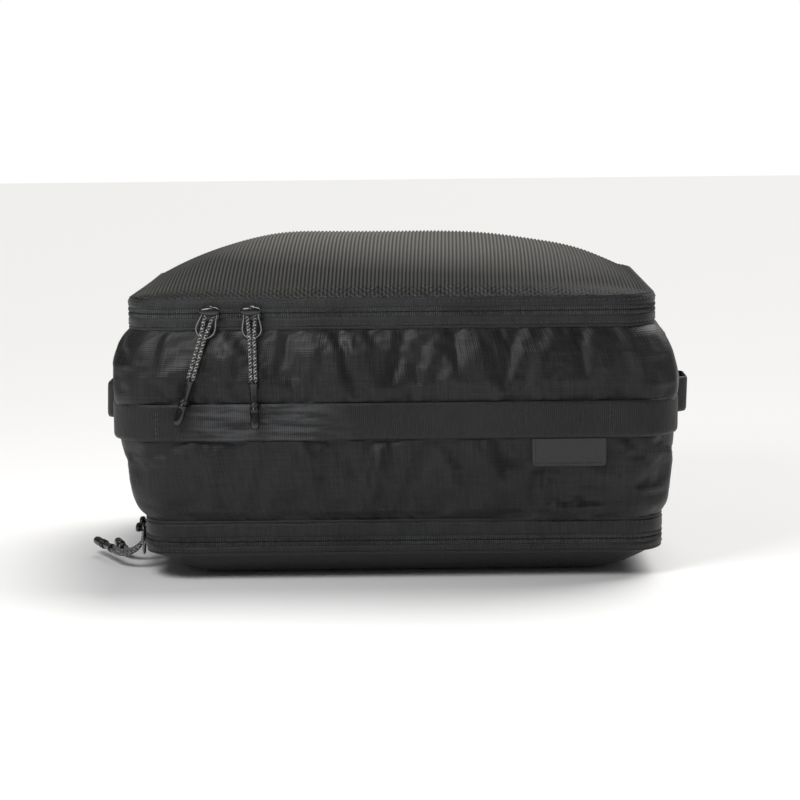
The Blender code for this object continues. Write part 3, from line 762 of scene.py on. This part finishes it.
def slider(name, heading, facing):
    """A zip slider: a neck, plates before and behind the tape, flanges, and a domed bridge."""
    to_frame = pull_frame(name, heading, 0.0)
    points, faces = [], []
    for size, place, power in SLIDER_BLOCKS:
        block = pillow(size, power)
        if size[0] > NARROWED_FROM:
            block[..., 2] *= 1 - 0.22 * np.clip(-block[..., 0] * facing / (size[0] / 2), 0, 1)
        faces += grid_faces(*block.shape[:2], True, sum(map(len, points)))
        points.append(block.reshape(-1, 3) + np.array(place) * (facing, 1, 1))
    points = to_frame(np.vstack(points) - (0.0, LOOP_Y, 0.0))
    obj = make_mesh(f"{name}_slider_casting", points, faces, looks["gloss"], askew=False)
    finish_piece(obj, f"{name}_slider_body", "gloss_black", f"{name}_slider")


for pull_name, pull_heading, pull_turn, pull_facing in PULLS:
    own_frame = pull_frame(pull_name, pull_heading, pull_turn)
    pull_cord(pull_name, own_frame, moulded_end(pull_name, own_frame))
    wire_loop(pull_name, own_frame)
    slider(pull_name, pull_heading, pull_facing)


# --- walls

# Soft folds: x, z, length, width, lean in degrees and height, in millimetres.
FRONT_FOLDS = (
    (-78, 160, 16, 5, 18, -1.6), (-62, 150, 22, 6, 22, 1.5), (-40, 155, 20, 5, -16, -1.6),
    (-22, 147, 24, 7, -20, 1.5), (-2, 156, 17, 5, 12, -1.5), (18, 146, 22, 6, 16, 1.7),
    (36, 157, 16, 5, -12, -1.3), (55, 148, 20, 7, -22, 1.6), (75, 158, 15, 5, 10, -1.2),
    (96, 150, 20, 7, 18, 1.3), (122, 156, 14, 6, -14, -1.1), (-118, 152, 18, 7, 10, 1.0),
    (-20, 70, 20, 6, 14, 1.6), (2, 62, 18, 5, 20, -1.5), (20, 76, 20, 6, 16, 1.5),
    (44, 64, 17, 6, -14, -1.5), (62, 72, 18, 7, -18, 1.6), (88, 60, 15, 5, 12, -1.3),
    (110, 66, 16, 7, 20, 1.2), (-60, 62, 17, 7, -12, 1.0), (-95, 70, 18, 7, 14, -1.0),
    (-130, 62, 14, 6, -10, 0.9), (-5, 130, 30, 9, 80, 0.8), (70, 128, 26, 8, 100, 0.8),
)
# The few large soft folds on the front, in the same terms.
BROAD_FOLDS = (
    (35, 142, 24, 9, 45, 2.0), (3, 150, 22, 9, 30, -1.9), (-35, 150, 26, 10, 15, 1.7),
    (-75, 142, 26, 10, -15, -1.3), (-110, 146, 24, 10, 10, 1.1), (-18, 70, 26, 9, 18, 3.6),
    (13, 69, 26, 9, 18, -3.2), (63, 68, 24, 8, 25, 3.2), (88, 68, 22, 9, 20, -2.6),
    (159, 146, 18, 5, -35, 1.3), (-90, 70, 24, 12, 10, 1.8),
)


def folds(x, z, marks):
    """Height of the soft folds at each point."""
    total = np.zeros_like(x)
    for fold_x, fold_z, length, width, tilt, height in marks:
        c, s = math.cos(math.radians(tilt)), math.sin(math.radians(tilt))
        dx, dz = x - fold_x * MM, z - fold_z * MM
        across, run = dx * c - dz * s, dx * s + dz * c
        total += height * MM * np.exp(-((across / (width * MM)) ** 2) - (run / (length * MM)) ** 2)
    return total


def random_folds(seed, span, count):
    """Seeded folds below the upper zip and above the lower one, by turns."""
    rng = np.random.default_rng(seed)
    marks = []
    for k in range(count):
        marks.append((
            rng.uniform(-span, span), rng.uniform(148, 163) if k % 2 == 0 else rng.uniform(52, 74),
            rng.uniform(13, 22), rng.uniform(4.5, 7.5), rng.uniform(-24, 24), rng.choice((-1.3, 1.5)),
        ))
    return marks


BACK_FOLDS = random_folds(3, 140, 22)
LEFT_FOLDS = random_folds(5, 90, 14)
RIGHT_FOLDS = random_folds(8, 90, 14)
CLOTH_FRAMES = 22
CLOTH_EXCESS = 0.06
CLOTH_SETTINGS = {
    "quality": 6, "mass": 0.25, "tension_stiffness": 14, "compression_stiffness": 14, "shear_stiffness": 5,
    "bending_stiffness": 0.35, "use_pressure": True, "uniform_pressure_force": 2.5, "vertex_group_mass": "held",
    "shrink_min": -CLOTH_EXCESS, "shrink_max": -CLOTH_EXCESS,
}
WRINKLE_SHARE = 0.72
WRINKLE_LIMIT = 3.5 * MM
# How fine each level of the walls is, along the front, a side and a corner: for the simulation and for show.
COARSE, COARSE_ROWS = (80, 46, 8), 34
FINE, FINE_ROWS = (200, 120, 20), 96
STRAP_REACH = 16 * MM
HELD_REACH = 12 * MM
STRAP_BACK_Y = 45 * MM
SEAM_FADE = 14 * MM
LABEL_FLAT = (32 * MM, 14 * MM)


def pucker(walked, seed, pitch, count=3):
    """A seeded, irregular ripple along a seam, between -1 and 1."""
    rng = np.random.default_rng(seed)
    total = np.zeros_like(walked)
    for _ in range(count):
        wave = pitch * rng.uniform(0.7, 1.5)
        total += np.sin(TURN * walked / wave + rng.uniform(0, 6.28) + 1.3 * np.sin(walked / wave))
    return total / count


def wall_level(z, fineness):
    """One level of the case: outline, normals, the fold height its cloth starts with, and the large folds."""
    left, right, depth = case_section(z)
    places, normals = outline(left, right, depth, CORNER_R, *fineness)
    (x, y), (aside, away) = places.T, normals.T
    ways = (-away, away, -aside, aside)
    to_front, to_back, to_left, to_right = (smooth_step((way - 0.3) / 0.5) for way in ways)
    start = to_front * folds(x, z, FRONT_FOLDS) + to_back * folds(x, z, BACK_FOLDS)
    start += to_left * folds(y, z, LEFT_FOLDS) + to_right * folds(y, z, RIGHT_FOLDS)
    off_strap = 1 - np.exp(-(((z - strap_mid) / STRAP_REACH) ** 4)) * (1 - to_back)
    flat = 0.30 * np.abs((x - (left + right) / 2) / ((right - left) / 2)) ** 3
    drawn_in = -(depth - HALF_DEPTH) * flat * (to_front + to_back)
    from_seam = min(z - wall_low, wall_high - z)
    broad = to_front * folds(x, z, BROAD_FOLDS) * off_strap * smooth_step(from_seam / SEAM_FADE)
    return places + normals * drawn_in[:, None], normals, start * off_strap, broad


def blurred(field, beside, above):
    """A field averaged over a window: periodic along each row, mirrored at the first and last rows."""
    for _ in range(3):
        field = sum(np.roll(field, k, 1) for k in range(-beside, beside + 1)) / (2 * beside + 1)
        padded = np.vstack([field[above:0:-1], field, field[-2:-above - 2:-1]])
        field = sum(padded[k:k + len(field)] for k in range(2 * above + 1)) / (2 * above + 1)
    return field


def settle_cloth(points, normals, held):
    """How far cloth moves out when it is cut full, blown out, and stitched down where it is held."""
    fabric = make_mesh("loose_cloth", points, grid_faces(*held.shape, True), looks["ripstop"], askew=False)
    group = fabric.vertex_groups.new(name="held")
    group.add(np.nonzero(held.ravel())[0].tolist(), 1.0, "REPLACE")
    settling = fabric.modifiers.new("settling", "CLOTH")
    for setting, value in CLOTH_SETTINGS.items():
        setattr(settling.settings, setting, value)
    settling.settings.effector_weights.gravity = 0.0
    settling.collision_settings.use_collision = False
    settling.point_cache.frame_start = 1
    settling.point_cache.frame_end = CLOTH_FRAMES
    for step in range(1, CLOTH_FRAMES + 1):
        bpy.context.scene.frame_set(step)
    settled = fabric.evaluated_get(bpy.context.evaluated_depsgraph_get()).data
    found = np.empty(points.size, np.float32)
    settled.vertices.foreach_get("co", found)
    bpy.data.objects.remove(fabric, do_unlink=True)
    bpy.context.scene.frame_set(1)
    return ((found.reshape(points.shape) - points) * normals).sum(-1)


def wrinkle_field():
    """The case's wrinkles on a coarse grid: distance round a level as a fraction, height, and lift."""
    heights = np.linspace(wall_low, wall_high, COARSE_ROWS)
    rng = np.random.default_rng(12)
    smooth, normals, start = [], [], []
    for z in heights:
        places, facing_out, lift, _ = wall_level(z, COARSE)
        smooth.append(points_of(*places.T, z))
        normals.append(points_of(*facing_out.T, 0.0))
        start.append(lift)
    smooth, normals, start = np.array(smooth), np.array(normals), np.array(start)
    walked = around(smooth[0])
    share = walked[:-1] / walked[-1]
    noise = blurred(rng.normal(0, 1, start.shape), 2, 1)
    start = 0.8 * start + noise / noise.std() * 0.25 * MM
    at_ends = np.isin(np.arange(COARSE_ROWS), (0, COARSE_ROWS - 1))[:, None]
    under_strap = (np.abs(heights - strap_mid) < HELD_REACH)[:, None] & (smooth[..., 1] < STRAP_BACK_Y)
    held = at_ends | under_strap
    shaped = np.where(held, 0.0, start)
    lift = shaped + settle_cloth(smooth + normals * shaped[..., None], normals, held)
    lift = WRINKLE_SHARE * (lift - 0.9 * blurred(lift, 5, 4))
    return share, heights, np.clip(lift, -WRINKLE_LIMIT, WRINKLE_LIMIT)


def on_level(field, share, heights, z, walked_share):
    """The coarse field's value along one level of the fine grid."""
    row = np.interp(z, heights, np.arange(len(heights)))
    low = int(min(row, len(heights) - 2))
    line = field[low] * (1 - (row - low)) + field[low + 1] * (row - low)
    return np.interp(walked_share, np.append(share, 1.0), np.append(line, line[0]))


def walls():
    """The stuffed cloth round the case, from the lower zip's seam to the upper one's."""
    share, heights, lift = wrinkle_field()
    tall = wall_high - wall_low
    columns = along(wall_level((wall_low + wall_high) / 2, FINE)[0])
    label_mid = (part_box("rubber_label")[0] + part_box("rubber_label")[1]) / 2
    grid, cloth = [], []
    for z in wall_low - 0.6 * MM + (tall + 1.2 * MM) * np.linspace(0, 1, FINE_ROWS):
        places, normals, _, broad = wall_level(z, FINE)
        walked = around(places)
        up = (z - wall_low) / tall
        near_seam = math.exp(-((1 - up) * tall / (7 * MM)) ** 2) + math.exp(-((up * tall) / (7 * MM)) ** 2)
        out = on_level(lift, share, heights, z, walked[:-1] / walked[-1]) + broad
        aside, above = (places[:, 0] - label_mid.x) / LABEL_FLAT[0], (z - label_mid.z) / LABEL_FLAT[1]
        out = out * (1 - np.exp(-(aside**6) - above**6) * (places[:, 1] < 0))
        out = out + near_seam * 0.40 * MM * pucker(walked[:-1], 21 if up > 0.5 else 22, 11 * MM)
        grid.append(points_of(*(places + normals * out[:, None]).T, z))
        cloth.append(points_of(columns, z, 0.0))
    obj = sheet("case_fabric", np.array(grid), looks["ripstop"], np.array(cloth), 1.0 * MM, closed=True)
    finish_piece(obj, "case", "ripstop")
    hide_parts("front_wall", "right_wall", "back_wall", "left_wall")


walls()


# --- lid and base panels

NET_PITCH = 4.6 * MM
RIB_HEIGHT = 0.55 * MM
LID_TUCK = 16 * MM


def panel_grid(half_width, half_depth, centre, columns, rows):
    """A grid over a rounded rectangle, with each point's distance from the rim."""
    u = np.linspace(-1, 1, columns)
    v = np.sin(np.linspace(-1, 1, rows) * math.pi / 2)
    u, v = np.meshgrid(u, v)
    y = v * half_depth
    past = np.clip(np.abs(y) - (half_depth - CORNER_R), 0, CORNER_R)
    width = half_width - CORNER_R + np.sqrt(CORNER_R**2 - past**2)
    x = u * width
    edge = np.minimum(width - np.abs(x), half_depth - np.abs(y))
    past_x = np.maximum(np.abs(x) - (half_width - CORNER_R), 0)
    past_y = np.maximum(np.abs(y) - (half_depth - CORNER_R), 0)
    to_corner = np.minimum(edge, CORNER_R - np.hypot(past_x, past_y))
    edge = np.where((past_x > 0) & (past_y > 0), to_corner, edge)
    return x + centre, y, np.clip(edge, 0, None)


def fullness(across, along_it):
    """The stuffed lid's height as a share of its peak: rounder at its left end."""
    power = 2.4 + 0.8 * smooth_step(-1.6 * across)
    return (1 - np.clip(np.abs(across), 0, 1) ** power) * (1 - np.clip(np.abs(along_it), 0, 1) ** 2.4)


def lumps(x, y, seed, count, size, height):
    """Seeded soft bumps, as packed clothes press through."""
    rng = np.random.default_rng(seed)
    total = np.zeros_like(x)
    for _ in range(count):
        bump_x, bump_y = rng.uniform(-0.15, 0.14), rng.uniform(-0.1, 0.1)
        reach = size * rng.uniform(0.7, 1.4)
        total += rng.choice((-1, 1)) * height * np.exp(-(((x - bump_x) ** 2 + (y - bump_y) ** 2) / reach**2))
    return total


def lid():
    """The mesh lid: a stuffed dome with a rib for every stripe, and an open net beside its seam."""
    low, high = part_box("mesh_lid_panel")
    half_width, half_depth = (high.x - low.x) / 2, (high.y - low.y) / 2
    ribs = round(2 * half_width / LID_RIB_PITCH)
    x, y, edge = panel_grid(half_width, half_depth, TOP_CENTRE, ribs * 6 + 1, 110)
    edge_z = top_rim + 0.6 * MM
    dome = fullness((x - TOP_CENTRE) / half_width, y / half_depth)
    z = edge_z + (high.z - edge_z - 1.2 * MM) * dome
    z += lumps(x, y, 4, 26, 34 * MM, 1.3 * MM) * smooth_step(edge / LID_TUCK)
    gathered = np.exp(-((edge / (9 * MM)) ** 2)) * smooth_step(edge / (3 * MM))
    z += 0.5 * MM * pucker(np.arctan2(y, x) * 0.17, 33, 14 * MM) * gathered
    rib = np.cos(TURN * (x - TOP_CENTRE) / LID_RIB_PITCH)
    z += RIB_HEIGHT * rib * smooth_step(edge / (5 * MM))
    run = np.where(np.abs(y) > half_depth - CORNER_R / 2, x, y)
    strands = [np.abs(np.sin(math.pi * (run + way * edge) / NET_PITCH)) for way in (-1, 1)]
    net = 1.0 - smooth_step((np.minimum(*strands) - 0.35) / 0.2)
    cloth = np.dstack([x - TOP_CENTRE, y, edge])
    obj = sheet("mesh_lid_cloth", np.dstack([x, y, z]), looks["mesh"], cloth, 0.9 * MM, fleck=net)
    finish_piece(obj, "lid", "lid_mesh")
    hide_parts("mesh_lid_panel")


def base():
    """The bottom: rounded down from its rim, and flat where it stands."""
    low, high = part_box("base_panel")
    half_width, half_depth = (high.x - low.x) / 2, (high.y - low.y) / 2
    x, y, edge = panel_grid(half_width, half_depth, 0.0, 171, 121)
    across = 1 - np.clip((half_width - np.abs(x)) / (52 * MM), 0, 1)
    forward = 1 - np.clip((half_depth - np.abs(y)) / (40 * MM), 0, 1)
    inward = np.clip(1 - (across**2.6 + forward**2.6) ** (1 / 2.6), 0, 1)
    inward = np.minimum(inward, np.clip(edge / (18 * MM), 0, 1))
    drop = np.sin(math.pi / 2 * inward) ** 0.9
    loose = np.clip(1 - drop, 0, 1) * smooth_step(edge / (8 * MM))
    z = (base_rim - 0.5 * MM) * (1 - drop) + lumps(x, y, 9, 30, 20 * MM, 1.2 * MM) * loose
    points = np.dstack([x, y, np.maximum(z, 0.15 * MM)])[:, ::-1]
    cloth = np.dstack([x, y, edge])[:, ::-1]
    obj = sheet("base_panel_cloth", points, looks["shaded_underside"], cloth, 1.0 * MM)
    finish_piece(obj, "base", "ripstop")
    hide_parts("base_panel")


lid()
base()


# --- zip bands

COIL_PITCH = 1.45 * MM
COIL_TALL = 3.2 * MM
ZIP_HALF_GAP = 0.02 * MM
# Zip half, the rim it follows, its split, which way it lies from it, its body, its far edge and its seed.
ZIP_HALVES = (
    ("lid", "lid", top_split, 1, "lid", top_rim + 0.4 * MM, 41),
    ("case_upper", "lid", top_split, -1, "case", wall_high + 0.2 * MM, 51),
    ("case_lower", "base", base_split, 1, "case", wall_low - 0.2 * MM, 41),
    ("base", "base", base_split, -1, "base", base_rim - 0.4 * MM, 51),
)


def rim_path(which, spacing, whole=True):
    """The path of the base's or the lid's rim, at its outer face."""
    centre, half = (0.0, BASE_HALF) if which == "base" else (TOP_CENTRE, TOP_HALF)
    return resample(*outline(centre - half, centre + half, HALF_DEPTH, whole=whole), spacing, whole)


def tape(node, which, profile, body, seed):
    """A zip tape from rows of (outward in millimetres, z, looseness), rippled a little along its length."""
    places, normals, walked = rim_path(which, 2.0 * MM)
    ripple = 0.25 * MM * pucker(walked, seed, 22 * MM)
    rise = 0.35 * MM * pucker(walked, seed + 1, 60 * MM)
    rows = [(out * MM + ripple * loose, z + rise * loose) for out, z, loose in profile]
    points = swept(rows, places, normals)
    obj = sheet(f"{node}_cloth", points, looks["tape"], cloth_of(rows, walked), 0.8 * MM, closed=True)
    finish_piece(obj, body, "zip_tape", node)


def coil(node, which, low, high, body):
    """The ribbed row beside a zip's centre line, as a reversed coil shows through its tape."""
    places, normals, walked = rim_path(which, COIL_PITCH / 6, False)
    rows, crest = [], []
    for t in np.linspace(0, 1, 9):
        crown = math.sin(math.pi * t) ** 0.35
        slanted = 0.5 + 0.5 * np.cos(TURN * (walked / COIL_PITCH + 0.35 * t))
        rows.append(((-0.40 + 0.40 * crown) * MM + 0.62 * MM * slanted * crown, low + (high - low) * t))
        crest.append(slanted * crown)
    points = swept(rows, places, normals)
    obj = sheet(f"{node}_ribs", points, looks["coil"], cloth_of(rows, walked), 0.7 * MM, fleck=crest)
    finish_piece(obj, body, "zip_coil", node)


def zip_half(half, which, split, sign, body, end, seed):
    """One tape of a zip, from the split to its seam, with its coil along the split."""
    start = split + sign * ZIP_HALF_GAP
    profile = []
    for t in np.linspace(0, 1, 15):
        z = start + (end - start) * t
        crown = 0.25 + 0.75 * math.sin(math.pi * min(1.0, 0.18 + 0.82 * t))
        near_coil = math.exp(-((abs(z - split) / (3.7 * MM)) ** 6))
        out = 0.55 * crown - 0.95 * near_coil - 1.1 * float(smooth_step((t - 0.86) / 0.14))
        profile.append((out, z, 1 - near_coil))
    tape(f"{half}_zip_tape", which, profile[::sign], body, seed)
    edges = (start + sign * 0.1 * MM, start + sign * (0.1 * MM + COIL_TALL))
    coil(f"{half}_zip_coil", which, *sorted(edges), body)


for zip_facts in ZIP_HALVES:
    zip_half(*zip_facts)


# --- seams and stitches

PIPING_R = 1.05 * MM
STITCH_SIDES, STITCH_RINGS = 6, 7


def piping(name, path, body):
    """A thin roll of tape along a closed path."""
    ahead = unit(np.roll(path, -1, 0) - np.roll(path, 1, 0))
    up = np.array([0, 0, 1.0])
    points = rings(path, unit(np.cross(ahead, up)), up, PIPING_R, 8)
    faces = grid_faces(len(path), 8, True, looped=True)
    obj = make_mesh(name, points, faces, looks["tape"], ring_cloth(along(path), PIPING_R, 8))
    finish_piece(obj, body, "zip_tape")


def stitches(name, runs, body, length=2.2 * MM, gap=1.0 * MM, radius=0.28 * MM):
    """Lock stitches along runs of (points, normals): each a short thread that dips at both ends."""
    points, faces, cloth = [], [], []
    t = np.linspace(0, 1, STITCH_RINGS)
    girth = radius * (0.55 + 0.45 * np.sin(math.pi * t) ** 0.4)
    lift = radius * (1.5 * np.sin(math.pi * t) ** 0.5 - 0.9)
    for path, normals in runs:
        walked = along(path)
        for k in range(int(walked[-1] // (length + gap))):
            at = np.linspace(k * (length + gap), k * (length + gap) + length, STITCH_RINGS)
            centre, out = sample(at, walked, path), unit(sample(at, walked, normals))
            side = np.cross(unit(np.gradient(centre, axis=0)), out)
            centre = centre + out * lift[:, None]
            start = len(points) * STITCH_RINGS * STITCH_SIDES
            points.append(rings(centre, side, out, girth[:, None, None], STITCH_SIDES).reshape(-1, 3))
            cloth.append(ring_cloth(at, radius, STITCH_SIDES))
            faces += grid_faces(STITCH_RINGS, STITCH_SIDES, True, start)
            faces += caps(STITCH_RINGS, STITCH_SIDES, start)
    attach(make_mesh(name, np.vstack(points), faces, looks["thread"], np.vstack(cloth)), body)


def level_run(which, outward, z, seed):
    """A line of stitching round a rim, a little unsteady in height, with its normals."""
    places, normals, walked = rim_path(which, 1.5 * MM)
    path = points_of(*(places + normals * outward).T, z + 0.12 * MM * pucker(walked, seed, 40 * MM))
    return path, points_of(*normals.T, 0.0)


def seams():
    for name, which, outward, z, seed, body in (
        ("lid_seam_stitches", "lid", 0.45, top_rim - 2.2 * MM, 1, "lid"),
        ("case_upper_stitches", "lid", 0.35, wall_high + 2.4 * MM, 2, "case"),
        ("case_lower_stitches", "base", 0.45, wall_low - 2.6 * MM, 3, "case"),
        ("base_seam_stitches", "base", 0.40, base_rim + 2.0 * MM, 4, "base"),
    ):
        stitches(name, [level_run(which, outward * MM, z, seed)], body)
    for name, which, outward, z, body in (
        ("lid_edge_piping", "lid", -1.2, top_rim - 0.3 * MM, "lid"),
        ("case_upper_piping", "lid", -0.6, wall_high + 0.1 * MM, "case"),
        ("case_lower_piping", "base", -0.6, wall_low - 0.1 * MM, "case"),
        ("base_edge_piping", "base", -0.9, base_rim - 0.5 * MM, "base"),
    ):
        places, normals, walked = rim_path(which, 2.0 * MM)
        ripple = 0.2 * MM * pucker(walked, 61, 18 * MM)
        piping(name, points_of(*(places + normals * (outward * MM + ripple)[:, None]).T, z), body)


seams()


# --- webbing, handles and label

WEBBING = 1.5 * MM
WEBBING_RIB = 0.24 * MM
WEBBING_RIB_PITCH = 1.32 * MM
STRAP_CLEAR = 0.25 * MM
STRAP_END_Y = -0.050
HANDLE_STAND = 16.0 * MM
TACK_INSET = 1.6 * MM
# Bartacks on the strap: where, how far they swing and how tight; then the plain lines of stitches.
BARTACKS = ((0.0815, 0.9 * MM, 1.3 * MM), (0.1373, 0.5 * MM, 1.6 * MM))
STITCH_LINES = (-0.1640, -0.1625, -0.1470, 0.1395, -0.0650)


def webbing_strip(path, normals, low, high, node):
    """Ribbed webbing along a level path: a closed strip with rounded edges and cross ribs."""
    places, facing, walked = resample(path, normals, WEBBING_RIB_PITCH / 4, False)
    rib = 0.5 + 0.5 * np.cos(TURN * walked / WEBBING_RIB_PITCH)
    across = np.linspace(-1, 1, 21)
    rows, cloth = [], []
    for side in (1, -1):
        for step in across * side:
            share = 1 - abs(step) ** 14
            out = WEBBING / 2 * (1 + side * max(0.12, share))
            if side > 0:
                out = out + WEBBING_RIB * rib * share
            rows.append((out, (low + high) / 2 + step * (high - low) / 2))
            cloth.append(points_of(walked, len(rows) * (high - low) / len(across), 0.0))
    points = swept(rows, places, facing).transpose(1, 0, 2)
    count, ring = points.shape[:2]
    faces = [face[::-1] for face in grid_faces(count, ring, True) + caps(count, ring)]
    cloth = np.array(cloth).transpose(1, 0, 2)
    obj = make_mesh(f"{node}_webbing", points, faces, looks["webbing"], cloth, np.repeat(rib, ring))
    finish_piece(obj, "case", "webbing", node)


# The wall's widest section under the strap: left x, right x and half depth.
strap_levels = [case_section(z) for z in np.linspace(strap_low, strap_high, 9)]
strap_left, strap_right, strap_depth = (pick(level) for pick, level in zip((min, max, max), zip(*strap_levels)))
strap_depth += STRAP_CLEAR


def front_strap():
    places, normals = outline(
        strap_left - STRAP_CLEAR, strap_right + STRAP_CLEAR, strap_depth, CORNER_R + 8 * MM, whole=False,
    )
    keep = (places[:, 1] <= STRAP_END_Y) | (np.abs(normals[:, 1]) > 0.01)
    webbing_strip(places[keep], normals[keep], strap_low, strap_high, "front_strap")


def handles():
    """The two side handles: loops that stand off the wall between their sewn ends."""
    low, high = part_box("left_handle")
    t = np.linspace(-1, 1, 60)
    lift = (1 + np.cos(math.pi * np.minimum(1.0, np.abs(t) / 0.78))) / 2
    bow = np.minimum(1.0, 1.35 * lift)
    bow = bow * 0.35 + smooth_step(bow) * 0.65
    y = np.linspace(low.y, high.y, len(t))
    for node, side, wall in (("left_handle", -1, strap_left), ("right_handle", 1, strap_right)):
        path = np.column_stack([wall + side * (0.6 * MM + HANDLE_STAND * bow), y])
        step = np.gradient(path, axis=0)
        normals = unit(np.column_stack([step[:, 1], -step[:, 0]]) * side)
        webbing_strip(path[::side], normals[::side], low.z, high.z, node)


def bartack(x, low, high, swing, pitch):
    """Corner points of a bartack that zigzags up the strap."""
    count = round((high - low) / pitch)
    return [(x + swing * (k % 2 * 2 - 1), low + (high - low) * k / count) for k in range(count + 1)]


def strap_run(start, end):
    """A straight run of stitching on the strap's front face, with its normals."""
    steps = max(2, round(math.dist(start, end) / (1.0 * MM)))
    (x0, z0), (x1, z1) = start, end
    t = np.linspace(0, 1, steps)
    path = points_of(x0 + (x1 - x0) * t, -(strap_depth + WEBBING + 0.20 * MM), z0 + (z1 - z0) * t)
    return path, np.tile([0.0, -1.0, 0.0], (steps, 1))


def strap_stitches():
    """Bartacks and lines of stitches through the strap, on its front face."""
    low, high = strap_low + TACK_INSET, strap_high - TACK_INSET
    tacks = [bartack(x, low, high, swing, pitch) for x, swing, pitch in BARTACKS]
    short = [strap_run(start, end) for tack in tacks for start, end in zip(tack, tack[1:])]
    stitches("strap_bartacks", short, "case", length=1.35 * MM, gap=0.05 * MM, radius=0.26 * MM)
    lines = [strap_run((x, low), (x, high)) for x in STITCH_LINES]
    stitches("strap_stitches", lines, "case", radius=0.24 * MM)


LABEL_CORNER = 3.4 * MM
LABEL_THICK = 0.9 * MM
LABEL_BORDER = 0.50 * MM


def label():
    """A blank soft-rubber label with rounded lower corners and a raised border."""
    low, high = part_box("rubber_label")
    width, height = high.x - low.x, high.z - low.z
    columns, rows = 140, 60
    x, z = np.meshgrid(np.linspace(0, width, columns), np.linspace(0, height, rows))
    below = np.clip(LABEL_CORNER - z, 0, LABEL_CORNER)
    inset = LABEL_CORNER - np.sqrt(np.clip(LABEL_CORNER**2 - below**2, 0, None))
    x = inset + (width - 2 * inset) * (x / width)
    edge = np.minimum(np.minimum(x - inset, width - inset - x), z)
    border = np.exp(-(((edge - 1.7 * MM) / (0.55 * MM)) ** 4))
    rounding = np.sqrt(np.clip(1 - (1 - np.clip(edge / (0.9 * MM), 0, 1)) ** 2, 0, 1))
    thick = 0.3 * MM + LABEL_THICK * rounding + LABEL_BORDER * border
    face = -(case_section(low.z + height / 2)[2] + 0.25 * MM)
    points = np.dstack([low.x + x, face - thick, low.z + z])
    obj = sheet("blank_rubber_label", points, looks["rubber"], np.dstack([x, z, edge]), 0.8 * MM)
    finish_piece(obj, "case", "rubber", "rubber_label")


front_strap()
handles()
strap_stitches()
label()


# --- hinge fabric

HINGE_HALF_HEIGHT = 6.0 * MM
HINGE_BEHIND = 3.6 * MM
HINGE_CROWN = 1.2 * MM


def hinge_fabric(name, split, low_x, high_x, node):
    """The fabric behind a zip band's rear edge, bowed out about the split where the upper body opens from the
    lower one.
    """
    x = np.linspace(low_x, high_x, 120)
    rows, cloth = [], []
    for t in np.linspace(1, -1, 17):
        y = HALF_DEPTH - HINGE_BEHIND + HINGE_CROWN * math.cos(math.pi * t / 2)
        y = y + 0.15 * MM * pucker(x, 71, 30 * MM)
        rows.append(points_of(x, y, split + t * HINGE_HALF_HEIGHT))
        cloth.append(points_of(x, t * HINGE_HALF_HEIGHT, 0.0))
    strip = sheet(name, np.array(rows), looks["tape"], np.array(cloth), 0.6 * MM)
    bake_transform(strip)
    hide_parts(node)


hinge_fabric("lid_hinge_fabric", top_split, -0.156, 0.142, "lid_hinge_strip")
hinge_fabric("base_hinge_fabric", base_split, -0.148, 0.148, "base_hinge_strip")


# --- CAD nodes that show

for inner_piece in ("divider", "case_lower_binding", "case_upper_binding", "lid_binding"):
    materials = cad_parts[inner_piece].data.materials
    materials.clear()
    materials.append(looks["lining"])
